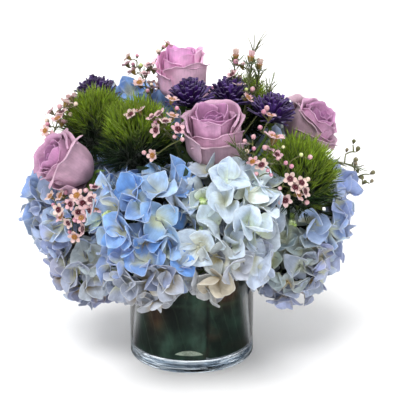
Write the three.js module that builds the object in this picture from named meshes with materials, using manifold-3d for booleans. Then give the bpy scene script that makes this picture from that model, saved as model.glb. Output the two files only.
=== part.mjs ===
// Hydrangeas in a low glass cylinder vase, with roses, green dianthus, asters and waxflower between them.
// The vase is lined with two dark leaves and packed with wet foam. Every stem stands in a hole in the foam.
// Millimetres, +Z up, +Y away from the viewer. The origin is the middle of the vase's underside.
import * as THREE from "three";
import { mergeVertices } from "three/addons/utils/BufferGeometryUtils.js";
import Module from "manifold-3d";

const wasm = await Module();
wasm.setup();

// Driving dimensions: a standard vase, 5 inches across and 5 inches high.
const VASE_RADIUS = 63.5;
const VASE_HEIGHT = 127;
const GLASS_WALL = 3;
const GLASS_BASE = 12;
const GAP = 0.3; // air between pieces that touch
const LEAF_THICKNESS = 0.8;
const FOAM_CROWN = 22; // how far the foam stands above the rim
const HOLE_EASE = 0.35; // a stem's hole is wider than the stem by this much all round
const STEM_RADIUS = { hydrangea: 3, rose: 2.4, dianthus: 2.2, aster: 1.7, waxflower: 1.4, twig: 0.7 };

const VASE_INSIDE = VASE_RADIUS - GLASS_WALL;
const OUTER_LEAF_RADIUS = VASE_INSIDE - GAP - LEAF_THICKNESS / 2;
const INNER_LEAF_RADIUS = OUTER_LEAF_RADIUS - LEAF_THICKNESS - GAP;
const FOAM_RADIUS = INNER_LEAF_RADIUS - LEAF_THICKNESS / 2 - GAP;
const FLOOR_INSIDE = GLASS_BASE + GAP;
const FOAM_TOP = VASE_HEIGHT + FOAM_CROWN;

const rad = THREE.MathUtils.degToRad;
const vec = (x, y, z) => new THREE.Vector3(x, y, z);

const colours = {
  glass: new THREE.MeshStandardMaterial({
    color: 0xdfe8ea, roughness: 0.05, opacity: 0.35, transparent: true,
  }),
  lining: new THREE.MeshStandardMaterial({ color: 0x1f3326, roughness: 0.35 }),
  foam: new THREE.MeshStandardMaterial({ color: 0x2f5138, roughness: 0.95 }),
  stem: new THREE.MeshStandardMaterial({ color: 0x55752f, roughness: 0.6 }),
  blue: new THREE.MeshStandardMaterial({ color: 0x7fa6e6, roughness: 0.6 }),
  white: new THREE.MeshStandardMaterial({ color: 0xc9dcf0, roughness: 0.6 }),
  rose: new THREE.MeshStandardMaterial({ color: 0xb98fb8, roughness: 0.55 }),
  dianthus: new THREE.MeshStandardMaterial({ color: 0x4f7a1c, roughness: 0.7 }),
  aster: new THREE.MeshStandardMaterial({ color: 0x3b2472, roughness: 0.7 }),
  waxflower: new THREE.MeshStandardMaterial({ color: 0xd9a3ad, roughness: 0.5 }),
};

// Draws numbers from 0 to 1 that are the same on every run.
function seeded(seed) {
  let state = seed >>> 0;
  return () => {
    state = (state + 0x6d2b79f5) >>> 0;
    let t = Math.imul(state ^ (state >>> 15), 1 | state);
    t = (t + Math.imul(t ^ (t >>> 7), 61 | t)) ^ t;
    return ((t ^ (t >>> 14)) >>> 0) / 4294967296;
  };
}

// Solids

// A closed three.js geometry as a solid, with its faces turned outwards.
function toSolid(geometry) {
  const bare = new THREE.BufferGeometry();
  const loose = geometry.index ? geometry.toNonIndexed() : geometry;
  bare.setAttribute("position", loose.getAttribute("position"));
  const merged = mergeVertices(bare, 1e-4);
  const corners = merged.index.array;
  const faces = [];
  for (let i = 0; i < corners.length; i += 3) {
    const [a, b, c] = [corners[i], corners[i + 1], corners[i + 2]];
    if (a !== b && b !== c && c !== a) faces.push([a, b, c]);
  }
  const made = (turned) => new wasm.Manifold(new wasm.Mesh({
    numProp: 3,
    vertProperties: merged.attributes.position.array,
    triVerts: new Uint32Array(faces.flatMap(([a, b, c]) => (turned ? [a, c, b] : [a, b, c]))),
  }));
  const solid = made(false);
  return solid.volume() < 0 ? made(true) : solid;
}

function fromPoints(points, faces) {
  const geometry = new THREE.BufferGeometry().setFromPoints(points);
  geometry.setIndex(faces.flat());
  return toSolid(geometry);
}

const union = (solids) => wasm.Manifold.union(solids);

// The largest body of a solid: a scrap that a cut leaves loose is dropped.
function largest(solid) {
  return solid.decompose().reduce((a, b) => (a.volume() > b.volume() ? a : b));
}

// The turn and shift that stand a piece made along +Z at a place, pointing along facing, spun about it.
function stand(at, facing, spin = 0) {
  const turn = new THREE.Quaternion().setFromUnitVectors(vec(0, 0, 1), facing.clone().normalize());
  turn.multiply(new THREE.Quaternion().setFromAxisAngle(vec(0, 0, 1), spin));
  return new THREE.Matrix4().compose(at, turn, vec(1, 1, 1));
}

const moved = (solid, matrix) => solid.transform(matrix.elements);

// Directions spread evenly over a ball, from its top down, by the golden angle.
function spread(count, twist = 0) {
  const golden = Math.PI * (3 - Math.sqrt(5));
  return Array.from({ length: count }, (_, i) => {
    const height = 1 - (2 * i + 1) / count;
    const ring = Math.sqrt(1 - height * height);
    return vec(ring * Math.cos(i * golden + twist), ring * Math.sin(i * golden + twist), height);
  });
}

// A direction turned a little at random.
function jitter(direction, amount, draw) {
  const shift = vec(draw() - 0.5, draw() - 0.5, draw() - 0.5).multiplyScalar(amount);
  return direction.clone().add(shift).normalize();
}

function turned(profile, sides) {
  const geometry = new THREE.LatheGeometry(profile.map(([r, z]) => new THREE.Vector2(r, z)), sides);
  geometry.rotateX(Math.PI / 2);
  return toSolid(geometry);
}

const ball = (radius, at) => toSolid(new THREE.IcosahedronGeometry(radius)).translate(at.toArray());

// A tube of a few flat sides along a smooth curve through the points.
function tube(points, radius, sides, steps) {
  const section = new THREE.Shape();
  for (let i = 0; i < sides; i++) {
    const angle = (2 * Math.PI * i) / sides;
    section[i ? "lineTo" : "moveTo"](radius * Math.cos(angle), radius * Math.sin(angle));
  }
  const extrudePath = new THREE.CatmullRomCurve3(points);
  return toSolid(new THREE.ExtrudeGeometry(section, { extrudePath, steps, curveSegments: 1 }));
}

// The room that a tube's hole takes: wider all round, and a little longer at both ends.
function holeFor(points, radius, sides, steps) {
  const wide = radius + HOLE_EASE / Math.cos(Math.PI / sides);
  const beyond = (end, next) => end.clone().addScaledVector(end.clone().sub(next).normalize(), HOLE_EASE);
  const last = points.length - 1;
  const longer = [
    beyond(points[0], points[1]),
    ...points.slice(1, last),
    beyond(points[last], points[last - 1]),
  ];
  return tube(longer, wide, sides, steps);
}

// A thin blade: a sheet of points, thick along its normals and split alike on both faces.
// sheet(u, v) gives a point for u from -1 to 1 across and v from 0 to 1 along.
function blade(across, along, thickness, sheet) {
  const middle = [];
  for (let j = 0; j <= along; j++)
    for (let i = 0; i <= across; i++) middle.push(sheet((2 * i) / across - 1, j / along));
  const at = (i, j) => j * (across + 1) + i;
  const clampI = (i) => Math.min(Math.max(i, 0), across);
  const clampJ = (j) => Math.min(Math.max(j, 0), along);
  const normals = middle.map((_, k) => {
    const [i, j] = [k % (across + 1), Math.floor(k / (across + 1))];
    const overU = middle[at(clampI(i + 1), j)].clone().sub(middle[at(clampI(i - 1), j)]);
    const overV = middle[at(i, clampJ(j + 1))].clone().sub(middle[at(i, clampJ(j - 1))]);
    return overU.cross(overV).setLength(thickness / 2);
  });
  const count = middle.length;
  const points = [
    ...middle.map((p, k) => p.clone().add(normals[k])),
    ...middle.map((p, k) => p.clone().sub(normals[k])),
  ];
  const faces = [];
  for (let j = 0; j < along; j++)
    for (let i = 0; i < across; i++) {
      const [a, b, c, d] = [at(i, j), at(i + 1, j), at(i + 1, j + 1), at(i, j + 1)];
      faces.push([a, b, c], [a, c, d]);
      faces.push([a + count, c + count, b + count], [a + count, d + count, c + count]);
    }
  const edge = [];
  for (let i = 0; i < across; i++) edge.push(at(i, 0));
  for (let j = 0; j < along; j++) edge.push(at(across, j));
  for (let i = across; i > 0; i--) edge.push(at(i, along));
  for (let j = along; j > 0; j--) edge.push(at(0, j));
  edge.forEach((a, k) => {
    const b = edge[(k + 1) % edge.length];
    faces.push([b, a, a + count], [b, a + count, b + count]);
  });
  return fromPoints(points, faces);
}

// A closed skin over rings of points, which may differ in number, from a first tip to a last one.
function skin(first, rings, last) {
  const points = [first, ...rings.flat(), last];
  const faces = [];
  let start = 1;
  rings.forEach((ring, k) => {
    const here = (i) => start + (i % ring.length);
    if (k === 0) for (let i = 0; i < ring.length; i++) faces.push([here(i), here(i + 1), 0]);
    const next = rings[k + 1];
    if (next) {
      const below = (j) => start + ring.length + (j % next.length);
      for (let i = 0, j = 0; i < ring.length || j < next.length;) {
        if ((i + 1) * next.length <= (j + 1) * ring.length) faces.push([here(i + 1), here(i++), below(j)]);
        else faces.push([here(i), below(j), below(++j)]);
      }
    } else for (let i = 0; i < ring.length; i++) faces.push([here(i + 1), here(i), points.length - 1]);
    start += ring.length;
  });
  return fromPoints(points, faces);
}

const circle = (count, radius, z) => Array.from({ length: count }, (_, i) => {
  const angle = (2 * Math.PI * i) / count;
  return vec(radius * Math.cos(angle), radius * Math.sin(angle), z);
});

// A flower: a dished disc cut into lobes. Under it the rings of its stalk narrow to the tip at foot.
// lobe lists the rim points of one lobe as [turn in degrees, reach, lift], in shares of the radius.
function lobedFlower(lobes, lobe, radius, dish, stalk, foot) {
  const rim = [];
  for (let k = 0; k < lobes; k++)
    for (const [turn, reach, lift] of lobe) {
      const angle = rad((360 * k) / lobes + turn);
      rim.push(vec(radius * reach * Math.cos(angle), radius * reach * Math.sin(angle), radius * lift));
    }
  return skin(vec(0, 0, -dish), [rim, ...stalk], vec(0, 0, -foot));
}

// What each next piece has to stay clear of, by node name.
const taken = new Map();

function boxesMeet(a, b, reach) {
  return [0, 1, 2].every((k) => a.min[k] - reach < b.max[k] && b.min[k] - reach < a.max[k]);
}

function isClear(piece, except = []) {
  const box = piece.boundingBox();
  for (const [name, other] of taken) {
    if (except.includes(name) || !boxesMeet(box, other.boundingBox(), GAP)) continue;
    if (piece.minGap(other, 2 * GAP) < GAP) return false;
  }
  return true;
}

const nodes = new Map();

function addNode(name, solid, colour) {
  nodes.set(name, { solid, colour });
  taken.set(name, solid);
}

// The vase, its lining and the foam

function makeVase() {
  const [outside, rimRound, heelRound, cornerRound] = [VASE_RADIUS, 1, 2, 3];
  addNode("glass_vase", turned([
    [0, 0],
    [outside - heelRound, 0],
    [outside, heelRound],
    [outside, VASE_HEIGHT - rimRound],
    [outside - GLASS_WALL / 2, VASE_HEIGHT],
    [VASE_INSIDE, VASE_HEIGHT - rimRound],
    [VASE_INSIDE, GLASS_BASE + cornerRound],
    [VASE_INSIDE - cornerRound, GLASS_BASE],
    [0, GLASS_BASE],
  ], 36), colours.glass);
}

// A broad dark leaf wrapped round inside the glass. Its lower edge lifts in a low arc about archAt.
function makeLining(name, radius, from, to, archAt) {
  const [low, high, steps] = [GLASS_BASE + 5, VASE_HEIGHT - 6, 20];
  addNode(name, blade(steps, 1, LEAF_THICKNESS, (u, v) => {
    const degrees = from + ((u + 1) / 2) * (to - from);
    const angle = rad(degrees);
    const arch = archAt === null ? 0 : 4 * Math.max(0, 1 - ((degrees - archAt) / 16) ** 2);
    const bottom = low + arch;
    const top = high + 3 * Math.sin(3 * angle);
    return vec(radius * Math.cos(angle), radius * Math.sin(angle), bottom + v * (top - bottom));
  }), colours.lining);
}

function foamBlock() {
  return turned([
    [0, FLOOR_INSIDE],
    [FOAM_RADIUS - 5, FLOOR_INSIDE],
    [FOAM_RADIUS, FLOOR_INSIDE + 5],
    [FOAM_RADIUS, VASE_HEIGHT],
    [FOAM_RADIUS - 9, VASE_HEIGHT + FOAM_CROWN * 0.7],
    [0, FOAM_TOP],
  ], 16);
}

// Stems. holes collects the room that the foam has to leave for them.
const holes = [];

function makeStem(name, points, radius) {
  const [sides, steps] = [5, 3];
  holes.push({ name, solid: holeFor(points, radius, sides, steps) });
  addNode(name, tube(points, radius, sides, steps), colours.stem);
}

const holeOf = (name) => holes.find((hole) => hole.name === name).solid;

// Hydrangeas: each head is two round lobes with a smaller core, covered by four-lobed florets.
const FLORET_LOBE = [[-45, 0.5, -0.04], [-19, 0.98, 0.08], [19, 0.98, 0.12]];
const FLORET_REACH = 0.57; // of its lobe's reach
const FLORET_SIZES = [1, 1, 0.8, 0.8, 0.62, 0.62]; // tried in turn until one has room
const FLORETS_A_LOBE = 11;
const NECK_RADIUS = 17; // of the core between the two lobes of a head

const hydrangeas = [
  {
    name: "hydrangea_front_left", colour: colours.blue, seed: 11,
    lobes: [
      { at: vec(-39, -76, 170), reach: 49, core: 33 },
      { at: vec(-36, -97, 126), reach: 41, core: 27 },
    ],
    stem: [vec(-36, -78, 160), vec(-30, -52, 142), vec(-21, -33, 104)],
  },
  {
    name: "hydrangea_front_right", colour: colours.white, seed: 23,
    lobes: [
      { at: vec(40, -76, 171), reach: 49, core: 33 },
      { at: vec(36, -97, 130), reach: 41, core: 27 },
    ],
    stem: [vec(38, -78, 160), vec(31, -52, 142), vec(22, -33, 104)],
  },
  {
    name: "hydrangea_left", colour: colours.blue, seed: 37,
    lobes: [
      { at: vec(-112, -6, 147), reach: 50, core: 34 },
      { at: vec(-97, -18, 104), reach: 44, core: 28 },
    ],
    stem: [vec(-103, -10, 142), vec(-58, -8, 141), vec(-30, -7, 106)],
  },
  {
    name: "hydrangea_right", colour: colours.blue, seed: 41,
    lobes: [
      { at: vec(110, -6, 151), reach: 50, core: 34 },
      { at: vec(98, -18, 106), reach: 44, core: 28 },
    ],
    stem: [vec(101, -10, 144), vec(58, -8, 142), vec(30, -7, 106)],
  },
  {
    name: "hydrangea_back_left", colour: colours.blue, seed: 53,
    lobes: [
      { at: vec(-64, 66, 212), reach: 48, core: 33 },
      { at: vec(-60, 92, 152), reach: 46, core: 31 },
    ],
    stem: [vec(-56, 78, 168), vec(-36, 45, 148), vec(-22, 26, 104)],
  },
  {
    name: "hydrangea_back_right", colour: colours.blue, seed: 67,
    lobes: [
      { at: vec(66, 76, 184), reach: 49, core: 34 },
      { at: vec(58, 96, 132), reach: 45, core: 29 },
    ],
    stem: [vec(58, 76, 162), vec(37, 46, 148), vec(23, 26, 104)],
  },
];

// The room that the vase and the crown of the foam need, with 1 mm to spare.
function potRoom() {
  const [reach, rim] = [VASE_RADIUS + 1, VASE_HEIGHT + 1];
  return turned([[0, -1], [reach, -1], [reach, rim], [FOAM_RADIUS - 8, FOAM_TOP - 5], [0, FOAM_TOP + 1]], 40);
}

function hydrangeaCore({ name, lobes }) {
  const core = union([
    tube(lobes.map(({ at }) => at), NECK_RADIUS, 5, 1),
    ...lobes.map(({ at, core: radius }) => ball(radius, at)),
  ]);
  return largest(core.subtract(potRoom()).subtract(holeOf(`${name}_stem`)));
}

function makeHydrangea({ name, lobes, colour, seed }) {
  const draw = seeded(seed);
  const stem = `${name}_stem`;
  const core = taken.get(name);
  const florets = [];
  lobes.forEach(({ at, reach, core: radius }, k) => {
    for (const out of spread(FLORETS_A_LOBE, seed + k)) {
      for (const share of FLORET_SIZES) {
        const facing = jitter(out, 0.3, draw);
        const spin = draw() * Math.PI * 2;
        const place = at.clone().addScaledVector(facing, reach - 4 * draw());
        const isBuried = (other) => other.at !== at && other.at.distanceTo(place) < other.reach * 0.92;
        if (lobes.some(isBuried)) break;
        const stalk = [circle(3, 8 * share, -7)];
        const floret = moved(
          lobedFlower(4, FLORET_LOBE, reach * FLORET_REACH * share, 2, stalk, reach - radius + 6),
          stand(place, facing, spin),
        );
        if (isClear(floret, [name, stem]) && floret.minGap(holeOf(stem), 1) > 0) {
          florets.push(floret);
          break;
        }
      }
    }
  });
  addNode(name, largest(union([core, ...florets])), colour);
}

// Roses: a bud in three cups of overlapping petals, on a green calyx with five sepals.
const SEPAL = [[-36, 0.42, 0], [0, 1.1, -0.25]];
const PETAL_THICKNESS = 1;
const LIP_FALL = 5; // how far the corners of a petal's lip lie below its middle
const roses = [
  {
    name: "rose_centre", at: vec(22, -50, 208), facing: vec(-0.12, -0.42, 0.9), size: 1.02, spin: 0.5,
    foam: vec(9, -17, 102), bend: vec(20, -30, 160),
  },
  {
    name: "rose_left", at: vec(-101, -50, 190), facing: vec(-0.52, -0.5, 0.7), size: 0.98, spin: 1.7,
    foam: vec(-30, -20, 108), bend: vec(-60, -32, 160),
  },
  {
    name: "rose_top", at: vec(-9, 38, 254), facing: vec(-0.06, -0.16, 0.98), size: 0.92, spin: 2.9,
    foam: vec(-3, 14, 100), bend: vec(-4, 24, 170),
  },
  {
    name: "rose_right", at: vec(106, 17, 219), facing: vec(0.55, -0.22, 0.8), size: 0.94, spin: 4.1,
    foam: vec(29, 8, 104), bend: vec(60, 12, 168),
  },
  {
    name: "rose_back", at: vec(8, 92, 212), facing: vec(0.05, 0.6, 0.8), size: 0.96, spin: 5.3,
    foam: vec(2, 33, 104), bend: vec(4, 60, 165),
  },
];

// A cup of overlapping petals. rows lists its radius and height from the foot to the lips, in millimetres.
// Each petal winds outwards by tuck on both sides of its middle, so it ends outside the next petal's start.
function petalCup(petals, across, rows, tuck, floor) {
  const lipRow = rows.length - 1;
  const ring = ([radius, height], fall, inset = 0) => Array.from({ length: petals * across }, (_, i) => {
    const u = (2 * (i % across)) / (across - 1) - 1;
    const angle = ((2 * Math.PI) / petals) * (Math.floor(i / across) + 0.48 * u);
    const reach = radius + tuck * u - inset;
    return vec(reach * Math.cos(angle), reach * Math.sin(angle), height - fall * u * u);
  });
  const outside = rows.map((row, k) => ring(row, k === lipRow ? LIP_FALL : 0));
  const inside = [ring(rows[lipRow], LIP_FALL, PETAL_THICKNESS), ring([rows[lipRow - 1][0], floor], 0, 2)];
  return skin(vec(0, 0, floor), [...outside, ...inside].reverse(), vec(0, 0, rows[0][1]));
}

function makeRose({ name, at, facing, size, spin, foam, bend }) {
  const head = union([
    petalCup(5, 4, [[7, 0.4], [21.5, 14], [25, 31], [30, 43]], 2.2, 24),
    petalCup(4, 3, [[9, 20], [18.5, 30], [20, 46]], 1.5, 32),
    petalCup(3, 3, [[7, 30], [12.5, 38], [10.5, 50]], 1.3, 40),
    turned([[0, 36], [6, 36], [5, 46], [0, 50]], 5),
  ]);
  const place = stand(at, facing, spin).multiply(new THREE.Matrix4().makeScale(size, size, size));
  addNode(name, largest(moved(head, place)), colours.rose);

  const up = facing.clone().normalize();
  const points = [at.clone().addScaledVector(up, -2), at.clone().addScaledVector(up, -14), bend, foam];
  const [sides, steps] = [5, 4];
  holes.push({ name: `${name}_stem`, solid: holeFor(points, STEM_RADIUS.rose, sides, steps) });
  const calyx = moved(lobedFlower(5, SEPAL, 14, 0, [], 9), place);
  const stem = tube(points, STEM_RADIUS.rose, sides, steps);
  addNode(`${name}_stem`, largest(union([stem, calyx])), colours.stem);
}

// Green dianthus: a round core that fine pointed bracts stand out of all over, on a green stem.
const dianthuses = [
  {
    name: "dianthus_left", at: vec(-91, -4, 233), reach: 36,
    foam: vec(-33, 6, 106), bend: vec(-60, 0, 172),
  },
  {
    name: "dianthus_middle", at: vec(-49, -38, 227), reach: 33,
    foam: vec(-12, -14, 102), bend: vec(-28, -24, 168),
  },
  {
    name: "dianthus_right", at: vec(104, -42, 194), reach: 38,
    foam: vec(31, -20, 108), bend: vec(62, -30, 162),
  },
  {
    name: "dianthus_back", at: vec(52, 40, 240), reach: 34,
    foam: vec(14, 20, 102), bend: vec(28, 28, 175),
  },
];
const BRACTS = 48;
const BRACT_LENGTH = 18;
const BRACT_RADIUS = 2.8;

function makeDianthus({ name, at, reach, foam, bend }, index) {
  const core = ball(reach - 12, at);
  const towards = bend.clone().sub(at).normalize();
  const points = [at.clone().addScaledVector(towards, reach - 20), bend, foam];
  const [sides, steps] = [5, 3];
  const stem = tube(points, STEM_RADIUS.dianthus, sides, steps);
  holes.push({ name, solid: holeFor(points, STEM_RADIUS.dianthus, sides, steps) });
  const spike = new THREE.ConeGeometry(BRACT_RADIUS, BRACT_LENGTH, 3, 1, false).rotateX(Math.PI / 2);
  const draw = seeded(97 + index);
  const bracts = [];
  for (const out of spread(BRACTS, index)) {
    const facing = jitter(out, 0.5, draw);
    const place = at.clone().addScaledVector(out, reach - BRACT_LENGTH / 2 - 1);
    const bract = moved(toSolid(spike), stand(place, facing, draw() * 6));
    if (isClear(bract)) bracts.push(bract);
  }
  addNode(name, largest(union([core, stem, ...bracts])), colours.dianthus);
}

// Asters: a low domed core with rings of narrow pointed rays.
const asters = [
  {
    name: "aster_left", at: vec(-95, 46, 250), facing: vec(-0.25, -0.15, 1),
    foam: vec(-31, 18, 106), bend: vec(-60, 13, 172),
  },
  {
    name: "aster_middle", at: vec(-2, -10, 254), facing: vec(-0.05, -0.35, 1),
    foam: vec(-4, -4, 100), bend: vec(-3, -7, 175),
  },
  {
    name: "aster_centre", at: vec(40, 6, 252), facing: vec(0.1, -0.3, 1),
    foam: vec(12, 3, 100), bend: vec(24, 4, 172),
  },
  {
    name: "aster_right", at: vec(76, -16, 243), facing: vec(0.25, -0.35, 1),
    foam: vec(24, -8, 102), bend: vec(42, -12, 170),
  },
];
const ASTER_RINGS = [
  { rays: 11, tilt: 86, reach: 25, height: 1 },
  { rays: 8, tilt: 58, reach: 23, height: 3 },
  { rays: 4, tilt: 26, reach: 20, height: 4 },
];

function makeAster({ name, at, facing, foam, bend }, index) {
  const place = stand(at, facing);
  const down = facing.clone().normalize();
  makeStem(`${name}_stem`, [at.clone().addScaledVector(down, -3), bend, foam], STEM_RADIUS.aster);
  const core = turned([[0, -6], [8, -1], [8, 4], [0, 10]], 6);
  const rays = ASTER_RINGS.flatMap(({ rays: count, tilt, reach, height }, ring) =>
    Array.from({ length: count }, (_, k) => {
      const angle = (2 * Math.PI * (k + 0.5 * ring)) / count + 0.4 * index;
      const out = vec(
        Math.sin(rad(tilt)) * Math.cos(angle), Math.sin(rad(tilt)) * Math.sin(angle), Math.cos(rad(tilt)),
      );
      const ray = new THREE.ConeGeometry(1, reach - 3, 4).rotateX(Math.PI / 2).scale(3.6, 1.3, 1);
      const middle = vec(0, 0, height).addScaledVector(out, (reach + 3) / 2);
      return moved(toSolid(ray), place.clone().multiply(stand(middle, out)));
    }));
  const head = union([moved(core, place), ...rays.filter((ray) => isClear(ray))]);
  addNode(name, largest(head.subtract(holeOf(`${name}_stem`))), colours.aster);
}

// Waxflower: a wiry spray whose side twigs end in five-petalled flowers and round buds, with needle leaves.
const WAX_PETAL = [[-36, 0.5, -0.1], [0, 1.05, 0.15]];
const WAXFLOWER_RADIUS = 7.2;
const NEEDLE_RADIUS = 0.8;
const TRIES = 14; // places tried for each twig of a spray
const sprays = [
  {
    name: "waxflower_top_left",
    foam: vec(-12, 8, 112), bend: vec(-20, 16, 190), neck: vec(-34, 22, 240),
    tip: vec(-54, 30, 296), reach: 20, flowers: 5, buds: 3, needles: 4,
  },
  {
    name: "waxflower_top_right",
    foam: vec(19, -2, 112), bend: vec(36, -4, 190), neck: vec(58, 6, 260),
    tip: vec(70, 0, 328), reach: 24, flowers: 5, buds: 3, needles: 8,
  },
  {
    name: "waxflower_middle",
    foam: vec(-2, -24, 112), bend: vec(-6, -36, 180), neck: vec(-14, -56, 226),
    tip: vec(-28, -78, 254), reach: 22, flowers: 5, buds: 3, needles: 3,
  },
  {
    name: "waxflower_far_left",
    foam: vec(-44, -14, 118), bend: vec(-62, -20, 166), neck: vec(-126, -28, 216),
    tip: vec(-134, -26, 256), reach: 18, flowers: 4, buds: 2, needles: 3,
  },
  {
    name: "waxflower_low_left",
    foam: vec(-33, -30, 118), bend: vec(-52, -46, 152), neck: vec(-88, -66, 172),
    tip: vec(-106, -86, 180), reach: 24, flowers: 7, buds: 2, needles: 3,
  },
  {
    name: "waxflower_right",
    foam: vec(18, -22, 112), bend: vec(40, -42, 180), neck: vec(60, -62, 208),
    tip: vec(76, -88, 214), reach: 26, flowers: 4, buds: 7, needles: 4,
  },
  {
    name: "waxflower_far_right",
    foam: vec(42, 2, 118), bend: vec(66, 2, 172), neck: vec(140, -2, 198),
    tip: vec(178, -2, 198), reach: 20, flowers: 0, buds: 6, needles: 6,
  },
  {
    name: "waxflower_back",
    foam: vec(-10, 24, 112), bend: vec(-16, 44, 190), neck: vec(-18, 70, 240),
    tip: vec(-22, 92, 268), reach: 22, flowers: 4, buds: 3, needles: 4,
  },
];

// One side twig with what it carries at its end. It is made along +Z from its root at z = 0.
function waxTwig(kind, length) {
  if (kind === "needle") {
    const leaf = new THREE.ConeGeometry(NEEDLE_RADIUS, length, 3).rotateX(Math.PI / 2);
    return toSolid(leaf).translate([0, 0, length / 2]);
  }
  const thick = STEM_RADIUS.twig;
  if (kind === "bud") {
    return turned([[0, 0], [thick, 0], [thick, length - 3], [3, length], [0, length + 3.5]], 3);
  }
  const stalk = [circle(3, thick, -4), circle(3, thick, -length)];
  return lobedFlower(5, WAX_PETAL, WAXFLOWER_RADIUS, 1, stalk, length + 0.1).translate([0, 0, length]);
}

// Where a twig leaves the spray's main stem, and its direction: along it, sideways and away from the middle.
function twigRoot(path, share, draw) {
  const from = path.getPoint(share);
  const along = path.getTangent(share);
  const sideways = vec(draw() - 0.5, draw() - 0.5, draw() - 0.5).projectOnPlane(along).normalize();
  const outward = vec(from.x, from.y, (from.z - FOAM_TOP) * 0.8).normalize();
  const out = along.multiplyScalar(0.7).addScaledVector(sideways, 0.9).addScaledVector(outward, 0.7);
  out.normalize();
  return { from: from.addScaledVector(out, 0.4), out };
}

function makeSpray({ name, foam, bend, neck, tip, reach, flowers, buds, needles }, index) {
  const draw = seeded(301 + index);
  const points = [foam, bend, neck, tip];
  const path = new THREE.CatmullRomCurve3(points);
  const [sides, steps] = [4, 5];
  const main = tube(points, STEM_RADIUS.waxflower, sides, steps);
  holes.push({ name, solid: holeFor(points, STEM_RADIUS.waxflower, sides, steps) });
  const kinds = [
    ...Array(flowers).fill("flower"), ...Array(buds).fill("bud"), ...Array(needles).fill("needle"),
  ];
  const twigs = [];
  for (const kind of kinds) {
    for (let go = 0; go < TRIES; go++) {
      const share = kind === "needle" ? 0.55 + 0.44 * draw() : 0.62 + 0.36 * draw();
      const { from, out } = twigRoot(path, share, draw);
      const length = kind === "needle" ? 12 + 5 * draw() : reach * (0.45 + 0.55 * draw());
      const twig = moved(waxTwig(kind, length), stand(from, out));
      const isFree = kind === "needle" || twigs.every((other) => other.minGap(twig, 1) > 0.4);
      if (isClear(twig) && (isFree || go > TRIES - 4)) {
        twigs.push(twig);
        break;
      }
    }
  }
  addNode(name, largest(union([main, ...twigs])), colours.waxflower);
}

// The build, from the inside out: each piece keeps clear of those before it.
makeVase();
makeLining("lining_leaf_left", OUTER_LEAF_RADIUS, 82, 284, null);
makeLining("lining_leaf_right", INNER_LEAF_RADIUS, 252, 452, 272);
for (const { name, stem } of hydrangeas) makeStem(`${name}_stem`, stem, STEM_RADIUS.hydrangea);
for (const flower of hydrangeas) taken.set(flower.name, hydrangeaCore(flower));
roses.forEach(makeRose);
taken.set("foam_block", foamBlock());
asters.forEach(makeAster);
dianthuses.forEach(makeDianthus);
sprays.forEach(makeSpray);
hydrangeas.forEach(makeHydrangea);
addNode("foam_block", foamBlock().subtract(union(holes.map((hole) => hole.solid))), colours.foam);

// A solid as a named three.js mesh.
function toMesh(name, { solid, colour }) {
  const { vertProperties, triVerts, numProp } = solid.getMesh();
  const corners = new THREE.BufferAttribute(new Float32Array(vertProperties), numProp);
  const geometry = new THREE.BufferGeometry().setAttribute("position", corners);
  geometry.setIndex(new THREE.BufferAttribute(new Uint32Array(triVerts), 1));
  geometry.computeVertexNormals();
  const mesh = new THREE.Mesh(geometry, colour);
  mesh.name = name;
  return mesh;
}

const bouquet = new THREE.Group();
for (const [name, node] of nodes) bouquet.add(toMesh(name, node));

export default bouquet;
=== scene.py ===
"""Hydrangeas, roses and small flowers in a leaf-lined glass vase, on a pale studio floor."""
import math
import random

import bpy
import numpy as np
from mathutils import Matrix, Vector


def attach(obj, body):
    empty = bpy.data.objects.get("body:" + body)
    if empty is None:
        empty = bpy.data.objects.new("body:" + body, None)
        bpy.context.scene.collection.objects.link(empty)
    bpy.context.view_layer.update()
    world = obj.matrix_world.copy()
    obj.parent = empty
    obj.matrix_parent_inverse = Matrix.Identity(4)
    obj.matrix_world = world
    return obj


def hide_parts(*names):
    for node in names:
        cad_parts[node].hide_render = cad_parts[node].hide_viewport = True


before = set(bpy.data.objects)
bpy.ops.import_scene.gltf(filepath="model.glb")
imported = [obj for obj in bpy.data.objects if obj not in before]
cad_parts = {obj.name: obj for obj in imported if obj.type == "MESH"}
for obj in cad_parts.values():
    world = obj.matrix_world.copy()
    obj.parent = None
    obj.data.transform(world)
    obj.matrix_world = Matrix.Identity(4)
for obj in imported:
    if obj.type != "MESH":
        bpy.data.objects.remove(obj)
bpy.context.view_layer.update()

bl_info = {
    "name": "Hydrangeas in a Vase",
    "version": (1, 0, 0),
    "blender": (4, 5, 0),
    "location": "View3D > Sidebar > Flowers",
    "description": "Models cut hydrangeas, roses and small flowers in a leaf-lined glass vase",
    "category": "Add Mesh",
}

MM = 0.001
GOLDEN_TURN = math.pi * (3 - math.sqrt(5))
# The chance stored on a shape that draws none of its own
EVEN_CHANCE = 0.5

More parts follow.
